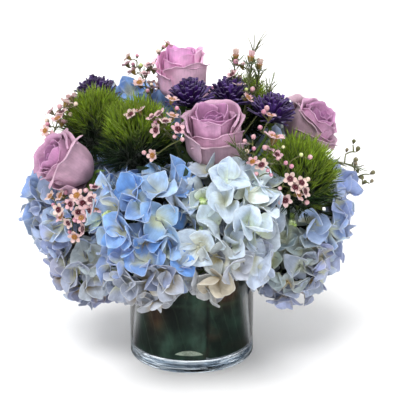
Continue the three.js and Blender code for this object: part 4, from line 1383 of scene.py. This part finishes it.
class FLOWERS_OT_add_dianthus(bpy.types.Operator):
    """Add the green dianthus balls with their stems"""
    bl_idname = "flowers.add_dianthus"
    bl_label = "Add Dianthus"

    tufts = 300
    hairs = 8

    def execute(self, context):
        _, sizes, colours = settings(context)
        rnd = random.Random("bracts")
        blades = blade_shapes(rnd, 12, 0.032, 0.3)
        core = ball(1.0, 24, 16)
        material = petal_material("Dianthus Bract", reach=0.75, edge=0.0, veins=2, depth=0.1, mottle=0.25,
                                  scale=240, rough=0.45, glow=0.2, bump=0.2, sheen=0.1)
        bract = sizes.bract / MM
        for name, bloom in DIANTHUS.items():
            rnd = random.Random("dianthus " + name)
            gather = Gather()
            middle = np.array(bloom["at"], float)
            inside = bloom["reach"] - 0.82 * bract
            # A dark ball inside, made darker still: painted shade in the depth of the ball
            gather.add(core.placed(None, middle, inside), np.array(colours.bract_deep) * 0.5)
            for way in spread(self.tufts, rnd, 0.05):
                shade = 0.5 * rnd.random() + bloom["dark"] * max(0, 0.4 - way[2])
                lean = stray(rnd, 0.4) + (0, 0, 0.95)
                long = rnd.uniform(0.72, 1.1) * (1 + bloom["crest"] * max(0, way[2]))
                out = rnd.uniform(-1.0, 5.0) * (1 - max(0, way[2]))
                for _ in range(self.hairs):
                    root = unit(way + stray(rnd, 0.09))
                    tip = unit(way + lean + stray(rnd, 0.2))
                    size = bract * long * rnd.uniform(0.84, 1.04)
                    place = middle + root * (inside + out)
                    turn = turned_to(tip, any_angle(rnd))
                    tint = between(colours.bract, colours.bract_deep, shade + rnd.uniform(-0.2, 0.3))
                    # Each hair's base takes the deep green: painted shade towards the inside of the ball
                    gather.add(rnd.choice(blades).placed(turn, place, size), tint, colours.bract_deep)
            way = unit(np.array(bloom["bend"]) - middle)
            points = (middle + way * (inside - 4), bloom["bend"], bloom["foot"])
            stalk(gather, points, DIANTHUS_STEM, colours.stem)
            gather.finish("dianthus_" + name + "_ball", ["dianthus_" + name], "dianthus_green", material, 80)
        return {"FINISHED"}


# Asters

# Each ring of strap petals: count, share of the outer length, angle from the axis in degrees
ASTER_RINGS = ((26, 0.96, 74), (32, 1.0, 60), (32, 1.0, 47), (28, 0.98, 34), (22, 0.94, 22), (12, 0.88, 10))


class FLOWERS_OT_add_asters(bpy.types.Operator):
    """Add the four purple asters with their stems"""
    bl_idname = "flowers.add_asters"
    bl_label = "Add Asters"

    def execute(self, context):
        _, sizes, colours = settings(context)
        rnd = random.Random("straps")
        straps = [self.strap(rnd) for _ in range(8)]
        core = ball(1.0, 12, 8)
        material = petal_material("Aster Petal", reach=0.55, edge=0.06, veins=5, depth=0.25, mottle=0.25,
                                  scale=260, rough=0.6, glow=0.15, bump=0.2, sheen=0.0)
        for name, bloom in ASTERS.items():
            rnd = random.Random("aster " + name)
            gather = Gather()
            base = np.array(bloom["at"], float)
            facing = unit(bloom["facing"])
            turn = turned_to(facing)
            gather.add(core.placed(turn, base + facing * 1.0, 4.5), colours.aster_deep)
            for number, (count, share, tilt) in enumerate(ASTER_RINGS):
                for k in range(count):
                    spin = 2 * math.pi * (k + 0.5 * (number % 2)) / count + rnd.uniform(-0.12, 0.12)
                    lean = math.radians(90 - tilt + rnd.uniform(-9, 9))
                    size = sizes.aster_petal / MM * share * rnd.uniform(0.86, 1.04)
                    way = turn @ turn_about("Z", spin) @ turn_about("X", lean)
                    place = base + facing * (0.6 * number)
                    tint = between(colours.aster, colours.aster_deep, rnd.uniform(0, 0.5))
                    tint = between(tint, colour(118, 84, 176), rnd.choice((0, 0, 0, 0, 0.5)))
                    gather.add(rnd.choice(straps).placed(way, place, size), tint, colours.aster_deep)
            gather.finish("aster_" + name + "_bloom", ["aster_" + name], "aster_purple", material, 70)
            self.add_stem(name, bloom, base, facing, colours)
        return {"FINISHED"}

    def strap(self, rnd):
        """One strap petal, one unit long, hollowed along its length."""
        bend = rnd.uniform(-0.05, 0.3)
        wide = rnd.uniform(0.07, 0.1)
        twist = rnd.uniform(-0.4, 0.4)

        def form(u, v):
            half = wide * (0.45 + 0.55 * np.sin(np.pi * np.minimum(1, v * 0.86 + 0.06)) ** 0.5)
            turn = twist * v
            x = u * half * np.cos(turn)
            z = bend * v ** 2 + 0.35 * half * u ** 2 + u * half * np.sin(turn)
            return np.column_stack((x, v + 0.02 * (1 - u ** 2), z))

        return sheet(2, 5, form, 0.03, rnd.random())

    def add_stem(self, name, bloom, base, facing, colours):
        """The stem and the green cup of bracts under the petals."""
        stem = Gather()
        points = (base - facing * 3, base - facing * 16, bloom["bend"], bloom["foot"])
        stalk(stem, points, ASTER_STEM, colours.stem)
        cup = ((-6, 1.8), (-4.4, 3.6), (-2.6, 5.0), (-1.2, 5.2))
        stem.add(stacked(cup, 12, base, facing), colours.moss)
        finish_stem(stem, "aster_" + name)


# Waxflowers

class WaxShapes:
    """The parts that every waxflower spray repeats."""

    def __init__(self, rnd, sizes):
        petal = sizes.wax_petal / MM

        def form(u, v):
            s = 0.04 + 0.92 * v
            half = petal * 0.56 * np.sin(np.pi * s ** 0.8) ** 0.6
            y = 2.2 + petal * v * (1 + 0.06 * (1 - u ** 2))
            z = 0.6 + 2.2 * v ** 1.3 + 0.7 * u ** 2 * v - 0.8 * v ** 3
            return np.column_stack((u * half, y, z))

        def leaf(u, v):
            half = 1.1 * np.sin(np.pi * (0.08 + 0.88 * v)) ** 0.8
            return np.column_stack((u * half, 0.8 + 6.5 * v, -4.2 + 3.0 * v ** 1.4))

        blade = sheet(3, 4, form, 0.35)
        self.petals = self.whorl(rnd, blade, 5, -0.1, 0.25)
        self.closed = self.whorl(rnd, blade, 5, 0.8, 1.05)
        self.collar = self.whorl(rnd, sheet(2, 4, leaf, 0.3), 7, -0.3, 0.4)
        self.cup = stacked(((-4.2, 0.6), (-3.0, 1.3), (-1.2, 2.1), (0.2, 2.5), (1.0, 2.7)), 8)
        self.dish = stacked(((0.9, 2.7), (1.45, 2.95), (1.35, 2.3), (1.0, 1.1), (0.95, 0.3)), 10)
        grains = []
        for k in range(10):
            angle = 2 * math.pi * k / 10
            at = (2.3 * math.cos(angle), 2.3 * math.sin(angle), 1.8)
            grains.append(ball(0.42, 4, 3).placed(None, at))
        grains.append(tube(((0, 0, 0.2), (0, 0, 2.8)), 0.28, 4))
        self.stamens = joined(grains)
        self.bud = ball(2.9, 10, 7, stretch=1.05)
        self.calyx = stacked(((-4.6, 0.7), (-2.6, 1.9), (-0.8, 2.75)), 8)
        self.needles = blade_shapes(rnd, 6, 0.034, 0.16)

    def whorl(self, rnd, blade, count, low, high):
        """Copies of a blade round the stem, each tilted up between two angles."""
        copies = []
        for k in range(count):
            spin = turn_about("Z", 2 * math.pi * k / count + rnd.uniform(-0.1, 0.1))
            copies.append(blade.placed(spin @ turn_about("X", rnd.uniform(low, high))))
        return joined(copies)


class FLOWERS_OT_add_waxflowers(bpy.types.Operator):
    """Add the waxflower sprays"""
    bl_idname = "flowers.add_waxflowers"
    bl_label = "Add Waxflowers"

    def execute(self, context):
        _, sizes, colours = settings(context)
        shapes = WaxShapes(random.Random("waxflower"), sizes)
        material = petal_material("Waxflower", reach=0.3, edge=0.25, veins=7, depth=0.05, mottle=0.08,
                                  scale=300, rough=0.4, glow=0.3, bump=0.15, sheen=0.1)
        for name, spray in SPRAYS.items():
            rnd = random.Random("spray " + name)
            gather = Gather()
            path = curve(spray["path"], 10)
            radii = np.linspace(SPRAY_STEM, TWIG, len(path))
            gather.add(tube(path, radii, 8), colours.twig)
            branches = [path]
            for points in spray.get("branches", ()):
                branches.append(curve(points, 6))
                gather.add(tube(branches[-1], np.linspace(1.0, TWIG, len(branches[-1])), 6), colours.twig)
            for end in spray.get("blades", ()):
                middle = (path[-1] + end) / 2 + (rnd.uniform(-1, 1), rnd.uniform(-1, 1), 1)
                row = curve((path[-1], middle, end), 3)
                gather.add(tube(row, np.linspace(0.75, 0.25, len(row)), 5), np.array(colours.twig) * 0.7)
            for place in spray.get("upright", ()):
                turn = turned_to((rnd.uniform(-0.2, 0.2), rnd.uniform(-0.2, 0.2), 1), rnd.uniform(0, 6))
                self.add_flower(gather, rnd, shapes, np.array(place, float), turn, "upright", colours)
            tips = []
            for kind in ("gold", "maroon", "bud", "green", "great", "dry"):
                tips += [(np.array(place, float), kind) for place in spray.get(kind, ())]
            kinds = ("dry",) if "dry" in spray else ("gold", "maroon", "bud")
            for _ in range(spray["more"]):
                root, _ = point_along(path, rnd.uniform(0.8, 1.0))
                off = unit([rnd.uniform(-1, 1), rnd.uniform(-0.3, 1), rnd.uniform(-0.2, 0.8)])
                tips.append((root + off * rnd.uniform(9, 17), rnd.choice(kinds)))
            self.grow(gather, rnd, shapes, path, tips, colours)
            for k in range(spray["needles"]):
                branch = branches[k % len(branches)]
                leafy = spray.get("leafy", 1) if branch is path else 1
                place, way = point_along(branch, leafy * (1 - 0.55 * rnd.random() ** 1.3))
                self.add_needle(gather, rnd, shapes, place, way, sizes, colours)
            title = "waxflower_" + name
            gather.finish(title + "_spray", [title], "waxflower_pink", material, 60)
        return {"FINISHED"}

    def grow(self, gather, rnd, shapes, path, tips, colours):
        """Twigs that reach every tip from the nearest wood, the closest tips first."""
        wood = list(path[len(path) // 2:])
        tips.sort(key=lambda tip: min(math.dist(tip[0], place) for place in wood))
        for end, kind in tips:
            root = min(wood, key=lambda place: math.dist(place, end) + 0.6 * max(0, place[2] - end[2] + 4))
            away = unit(end * (0.35, 1, 0.6) - (0, 0, 60))
            lean = unit(0.55 * unit(end - root) + 0.7 * away + stray(rnd, 0.45) + (0, 0, 0.15))
            neck = end - lean * 4
            twig = curve((root, (root + neck) / 2 + (0, 0, 1.2), neck), 4)
            stout = 1.4 if kind == "dry" else 1
            gather.add(tube(twig, stout * np.linspace(0.62, 0.42, len(twig)), 5), colours.twig)
            wood += list(twig[3:-1])
            turn = turned_to(lean, any_angle(rnd))
            if kind in ("bud", "green", "dry"):
                self.add_bud(gather, rnd, shapes, end, turn, kind, colours)
            else:
                self.add_flower(gather, rnd, shapes, end, turn, kind, colours)

    def add_bud(self, gather, rnd, shapes, place, turn, kind, colours):
        """One round bud in its cup, pink or peach, still green, or dry."""
        size = rnd.uniform(0.6, 0.92)
        tint = between(colours.wax_bud, colours.wax_peach, rnd.choice((0, 0.3, 1)))
        if kind == "green":
            tint = between(colours.bud_green, colours.wax_peach, rnd.uniform(0.2, 0.6))
            size *= 0.85
        if kind == "dry":
            tint = between(colours.twig, colours.wax_peach, rnd.uniform(0.0, 0.4)) * 0.8
        gather.add(shapes.bud.placed(turn, place, size), tint, between(tint, colours.wax_cup, 0.45))
        gather.add(shapes.calyx.placed(turn, place, size), between(colours.twig, colours.wax_cup, 0.3))

    def add_flower(self, gather, rnd, shapes, place, turn, kind, colours):
        """One open flower, its cup maroon when old and golden when young."""
        size = rnd.uniform(0.88, 1.08) * {"great": 1.5, "upright": 1.2}.get(kind, 1)
        cup = colours.wax_cup if kind == "maroon" else colours.wax_gold
        tint = between(colours.wax, colours.wax_peach, rnd.uniform(0, 0.8))
        petals = shapes.petals
        if kind == "upright":
            petals = shapes.closed
            gather.add(shapes.collar.placed(turn, place, size), np.array(colours.stem) * 0.6)
        gather.add(petals.placed(turn, place, size), tint, between(colours.wax, cup, 0.35))
        for shape, shade in (
            (shapes.cup, between(colours.twig, cup, 0.3)),
            (shapes.dish, cup),
            (shapes.stamens, between(cup, colours.wax, 0.25)),
        ):
            gather.add(shape.placed(turn, place, size), shade)

    def add_needle(self, gather, rnd, shapes, place, way, sizes, colours):
        """One needle leaf that leaves the stem at a slant."""
        off = stray(rnd, 1)
        lean = unit(off - way * np.dot(off, way) + way * 1.3)
        turn = turned_to(lean, any_angle(rnd))
        size = sizes.needle / MM * rnd.uniform(0.7, 1.1)
        tint = between(colours.stem, colours.twig, rnd.random())
        gather.add(rnd.choice(shapes.needles).placed(turn, place, size), tint * rnd.uniform(0.45, 0.8))


# Vase, lining and foam

class FLOWERS_OT_add_vase(bpy.types.Operator):
    """Add the glass cylinder"""
    bl_idname = "flowers.add_vase"
    bl_label = "Add Glass Vase"

    sides = 128

    def execute(self, context):
        vase, _, _ = settings(context)
        outer = vase.radius
        inner = outer - vase.wall
        edge = vase.edge
        rim = vase.wall / 2
        floor = vase.base
        rings = [(outer * share, rise * MM) for share, rise in VASE_PUNT]
        rings += arc((outer - edge, edge), edge, -90, 0, 5)
        rings += arc((outer - rim, vase.height - rim), rim, 0, 180, 10)
        rings += arc((inner - edge, floor + edge), edge, 0, -90, 5)
        rings += [(outer * share, floor - dip * MM) for share, dip in VASE_DISH]
        piece = lathe("vase_body", rings, self.sides)
        settle(piece, ["glass_vase"], glass_material(), 40)
        return {"FINISHED"}


class FLOWERS_OT_add_lining(bpy.types.Operator):
    """Add the two leaves that line the glass"""
    bl_idname = "flowers.add_lining"
    bl_label = "Add Lining Leaves"

    def execute(self, context):
        _, _, colours = settings(context)
        material = leaf_material()
        for name, leaf in LEAVES.items():
            rnd = random.Random("leaf " + name)
            phase = rnd.uniform(0, 6)

            def form(u, v):
                degrees = leaf["from"] + (leaf["to"] - leaf["from"]) * (u + 1) / 2
                swing = np.radians(degrees)
                arch_at, arch_reach = LEAF_ARCH
                low = LEAF_LOW + leaf["arch"] * np.maximum(0, 1 - ((degrees - arch_at) / arch_reach) ** 2)
                high = LEAF_HIGH + LEAF_WAVE * np.sin(3 * swing)
                bow_at, bow_reach, bow = LEAF_BOW
                off = (degrees - bow_at + 180) % 360 - 180
                radius = leaf["radius"] - 0.15 * (1 + np.sin(9 * swing + 4 * v + phase))
                radius = radius + bow * np.exp(-(off / bow_reach) ** 2)
                z = low + (high - low) * v
                return np.column_stack((radius * np.cos(swing), radius * np.sin(swing), z))

            gather = Gather()
            blade = sheet(120, 14, form, LEAF_THICKNESS)
            gather.add(blade, colours.leaf)
            self.shade(gather.tints[0], blade.points)
            # A pale sheet at the foot of the left leaf: painted reflection
            if name == "left":
                gather.add(self.fold(), colour(*LEAF_PAINTED_GLINT))
            gather.finish("lining_blade_" + name, ["lining_leaf_" + name], "lining_leaf", material, 60)
        return {"FINISHED"}

    def shade(self, tints, points):
        """Paints shade and light into the leaf's colour, and its brown bruises, round the places where the
        real one differs.
        """
        degrees = np.degrees(np.arctan2(points[:, 1], points[:, 0])) % 360
        shades = {"dark": colour(*LEAF_DARK), "light": colour(*LEAF_PAINTED_LIGHT), "brown": colour(*LEAF_BROWN)}
        for at, height, wide, high, kind, strength in LEAF_SHADES:
            off = ((degrees - at) / wide) ** 2 + ((points[:, 2] - height) / high) ** 2
            share = (strength * np.exp(-off))[:, None]
            tints[:, :3] += (np.array(shades[kind]) - tints[:, :3]) * share

    def fold(self):
        """A lens-shaped pale sheet at the foot of the left leaf: a painted reflection, standing for the glint
        of light there.
        """
        start, end, low, high, radius = LEAF_GLINT_SHEET

        def form(u, v):
            swing = np.radians(start + (end - start) * (u + 1) / 2)
            arch = np.sin(np.pi * (u + 1) / 2) ** 0.8
            z = low + 0.8 * (1 - arch) + high * arch * v
            return np.column_stack((radius * np.cos(swing), radius * np.sin(swing), z))

        return sheet(24, 5, form, 0.3, 0.9)


def crown_at(beside):
    """The height of the foam's crown at a distance from its middle, in millimetres."""
    return FOAM_TOP - CROWN_DROP * (beside / CROWN_RADIUS) ** CROWN_POWER


class FLOWERS_OT_add_foam(bpy.types.Operator):
    """Add the wet foam and the moss that hides its crown"""
    bl_idname = "flowers.add_foam"
    bl_label = "Add Foam and Moss"

    strands = 1800

    def execute(self, context):
        _, _, colours = settings(context)
        rings = [(radius * MM, height * MM) for radius, height in FOAM_PROFILE]
        piece = lathe("foam_brick", rings, 96)
        settle(piece, ["foam_block"], foam_material(), 40)
        rnd = random.Random("moss")
        blades = blade_shapes(rnd, 8, 0.06, 0.7)
        gather = Gather()
        for beside, out in over_disc(self.strands, MOSS_RADIUS):
            place = out * beside + (0, 0, crown_at(beside) - 1.5)
            lean = (rnd.uniform(-1, 1), rnd.uniform(-1, 1), 0.9)
            turn = turned_to(lean, any_angle(rnd))
            tint = between(colours.moss, colours.bract_deep, rnd.random())
            tint = between(tint, colour(112, 96, 40), rnd.choice((0, 0, 0.4)))
            gather.add(rnd.choice(blades).placed(turn, place, rnd.uniform(6, 11)), tint)
        material = green_material("Moss", streak=0.3, grain=700, rough=0.75)
        gather.finish("foam_moss", [], "wet_foam", material, 80)
        return {"FINISHED"}


class FLOWERS_OT_add_greens(bpy.types.Operator):
    """Add the dark greens that fill the middle of the bouquet"""
    bl_idname = "flowers.add_greens"
    bl_label = "Add Filler Greens"

    sprigs = 90

    def execute(self, context):
        _, _, colours = settings(context)
        rnd = random.Random("greens")
        leaves = [self.leaf(rnd) for _ in range(6)]
        others = neighbours(None)
        gather = Gather()
        wood = between(colours.stem, colours.moss, 0.5)
        for k, (beside, out) in enumerate(over_disc(self.sprigs, GREENS_RADIUS)):
            foot = out * beside + (0, 0, crown_at(beside) - 2)
            way = unit(out * 0.011 * beside + (rnd.uniform(-0.15, 0.15), rnd.uniform(-0.15, 0.15), 1))
            path = curve((foot, foot + way * 24 + out * 2, foot + way * rnd.uniform(46, 74)), 6)
            gather.add(tube(path, np.linspace(0.9, 0.5, len(path)), 5), wood)
            for number in range(8):
                place, along = point_along(path, 0.2 + 0.11 * number)
                side = turn_about("Z", number * 2.4 + k) @ np.array((1, 0, 0))
                lean = unit(along * 0.8 + side * rnd.uniform(0.5, 1.0) + out * 0.2)
                size = rnd.uniform(17, 26)
                if not clear_of(place + lean * size * 0.7, others, 1):
                    continue
                tint = between(colours.green_deep, colours.green, rnd.random())
                gather.add(rnd.choice(leaves).placed(turned_to(lean, rnd.uniform(0, 6)), place, size), tint)
        material = green_material("Filler Leaf", streak=0.35, grain=260, rough=0.42)
        gather.finish("filler_greens", [], "stem_green", material, 60)
        return {"FINISHED"}

    def leaf(self, rnd):
        """One pointed leaf, one unit long, folded a little along its rib."""
        bend = rnd.uniform(-0.1, 0.35)
        wide = rnd.uniform(0.15, 0.22)

        def form(u, v):
            half = wide * np.sin(np.pi * (0.03 + 0.95 * v) ** 0.8) ** 0.9
            return np.column_stack((u * half, bend * v ** 2 + 0.5 * half * np.abs(u), v))

        return sheet(2, 5, form, 0.018, rnd.random())


class FLOWERS_OT_add_stage(bpy.types.Operator):
    """Add the pale sweep, the soft lights and the camera"""
    bl_idname = "flowers.add_stage"
    bl_label = "Add Stage"

    def execute(self, context):
        self.add_sweep()
        for name, (place, softness, power) in LIGHTS.items():
            self.add_light(name, place, softness, power)
        world = context.scene.world or bpy.data.worlds.new("Studio")
        context.scene.world = world
        world.use_nodes = True
        tree = Tree(world.node_tree)
        sky = world.node_tree.nodes["Background"]
        sky.inputs["Color"].default_value = (1.0, 0.995, 0.99, 1)
        light = tree.math("MULTIPLY_ADD", tree.mirrored(), -MIRROR_DIM * SKY_LIGHT, SKY_LIGHT)
        seen = tree.rays()["Is Camera Ray"]
        tree.feed(sky.inputs["Strength"], tree.math("MULTIPLY_ADD", seen, SKY_SEEN - SKY_LIGHT, light))
        context.scene.view_settings.view_transform = "Standard"
        self.add_camera(context)
        return {"FINISHED"}

    def add_sweep(self):
        """A floor that curves up into a back wall."""
        clear_selection()
        bpy.ops.mesh.primitive_plane_add(size=PAPER_SIZE, location=(0, 0, 0))
        sweep = bpy.context.object
        sweep.name = "paper_sweep"
        bpy.ops.object.mode_set(mode="EDIT")
        bpy.ops.mesh.select_mode(type="EDGE")
        bpy.ops.mesh.select_all(action="DESELECT")
        bpy.ops.object.mode_set(mode="OBJECT")
        for edge in sweep.data.edges:
            ends = [sweep.data.vertices[k].co.y for k in edge.vertices]
            edge.select = min(ends) > 0
        bpy.ops.object.mode_set(mode="EDIT")
        bpy.ops.mesh.extrude_edges_move(TRANSFORM_OT_translate={"value": (0, 0, PAPER_RISE)})
        bpy.ops.object.mode_set(mode="OBJECT")
        round_off = sweep.modifiers.new("Curve", "BEVEL")
        round_off.width = PAPER_BEND
        round_off.segments = 16
        bpy.ops.object.modifier_apply(modifier=round_off.name)
        bpy.ops.object.shade_smooth()
        sweep.data.materials.append(stage_material())

    def add_light(self, name, place, softness, power):
        """A far soft light that looks at the flowers, as wide in the sky as its softness in degrees."""
        bpy.ops.object.light_add(type="SUN", location=place)
        lamp = bpy.context.object
        lamp.name = name
        lamp.data.angle = math.radians(softness)
        lamp.data.energy = power
        aim = Vector(LIGHT_AIM) - Vector(place)
        lamp.rotation_euler = aim.to_track_quat("-Z", "Y").to_euler()

    def add_camera(self, context):
        """The camera where the photograph was taken from."""
        tilt = math.radians(90 - CAMERA_DOWN)
        bpy.ops.object.camera_add(location=CAMERA_AT, rotation=(tilt, 0, 0))
        camera = bpy.context.object
        camera.name = "main_camera"
        camera.data.lens = CAMERA_LENS
        camera.data.sensor_width = CAMERA_SENSOR
        camera.data.clip_start = 0.02
        context.scene.camera = camera


class FLOWERS_PT_panel(bpy.types.Panel):
    """Lists the steps that build the bouquet"""
    bl_idname = "FLOWERS_PT_panel"
    bl_label = "Hydrangeas in a Vase"
    bl_space_type = "VIEW_3D"
    bl_region_type = "UI"
    bl_category = "Flowers"

    def draw(self, context):
        column = self.layout.column(align=True)
        for step in STEPS:
            column.operator(step.bl_idname)
        for group in settings(context):
            box = self.layout.box()
            for key in group.bl_rna.properties.keys():
                if key not in ("rna_type", "name"):
                    box.prop(group, key)


STEPS = (
    FLOWERS_OT_add_vase,
    FLOWERS_OT_add_lining,
    FLOWERS_OT_add_foam,
    FLOWERS_OT_add_greens,
    FLOWERS_OT_add_hydrangeas,
    FLOWERS_OT_add_roses,
    FLOWERS_OT_add_dianthus,
    FLOWERS_OT_add_asters,
    FLOWERS_OT_add_waxflowers,
    FLOWERS_OT_add_stage,
)
GROUPS = (VaseSizes, FlowerSizes, FlowerColours)


def register():
    """Makes the steps, the panel and the settings known."""
    for item in GROUPS + STEPS + (FLOWERS_PT_panel,):
        bpy.utils.register_class(item)
    bpy.types.Scene.vase_sizes = bpy.props.PointerProperty(type=VaseSizes)
    bpy.types.Scene.flower_sizes = bpy.props.PointerProperty(type=FlowerSizes)
    bpy.types.Scene.flower_colours = bpy.props.PointerProperty(type=FlowerColours)


def unregister():
    """Takes the steps, the panel and the settings away."""
    del bpy.types.Scene.flower_colours
    del bpy.types.Scene.flower_sizes
    del bpy.types.Scene.vase_sizes
    for item in reversed(GROUPS + STEPS + (FLOWERS_PT_panel,)):
        bpy.utils.unregister_class(item)


def main():
    """Builds the bouquet."""
    register()
    clear_selection()
    bpy.ops.flowers.add_vase()
    bpy.ops.flowers.add_lining()
    bpy.ops.flowers.add_foam()
    bpy.ops.flowers.add_greens()
    bpy.ops.flowers.add_hydrangeas()
    bpy.ops.flowers.add_roses()
    bpy.ops.flowers.add_dianthus()
    bpy.ops.flowers.add_asters()
    bpy.ops.flowers.add_waxflowers()
    bpy.ops.flowers.add_stage()


if __name__ == "__main__":
    main()
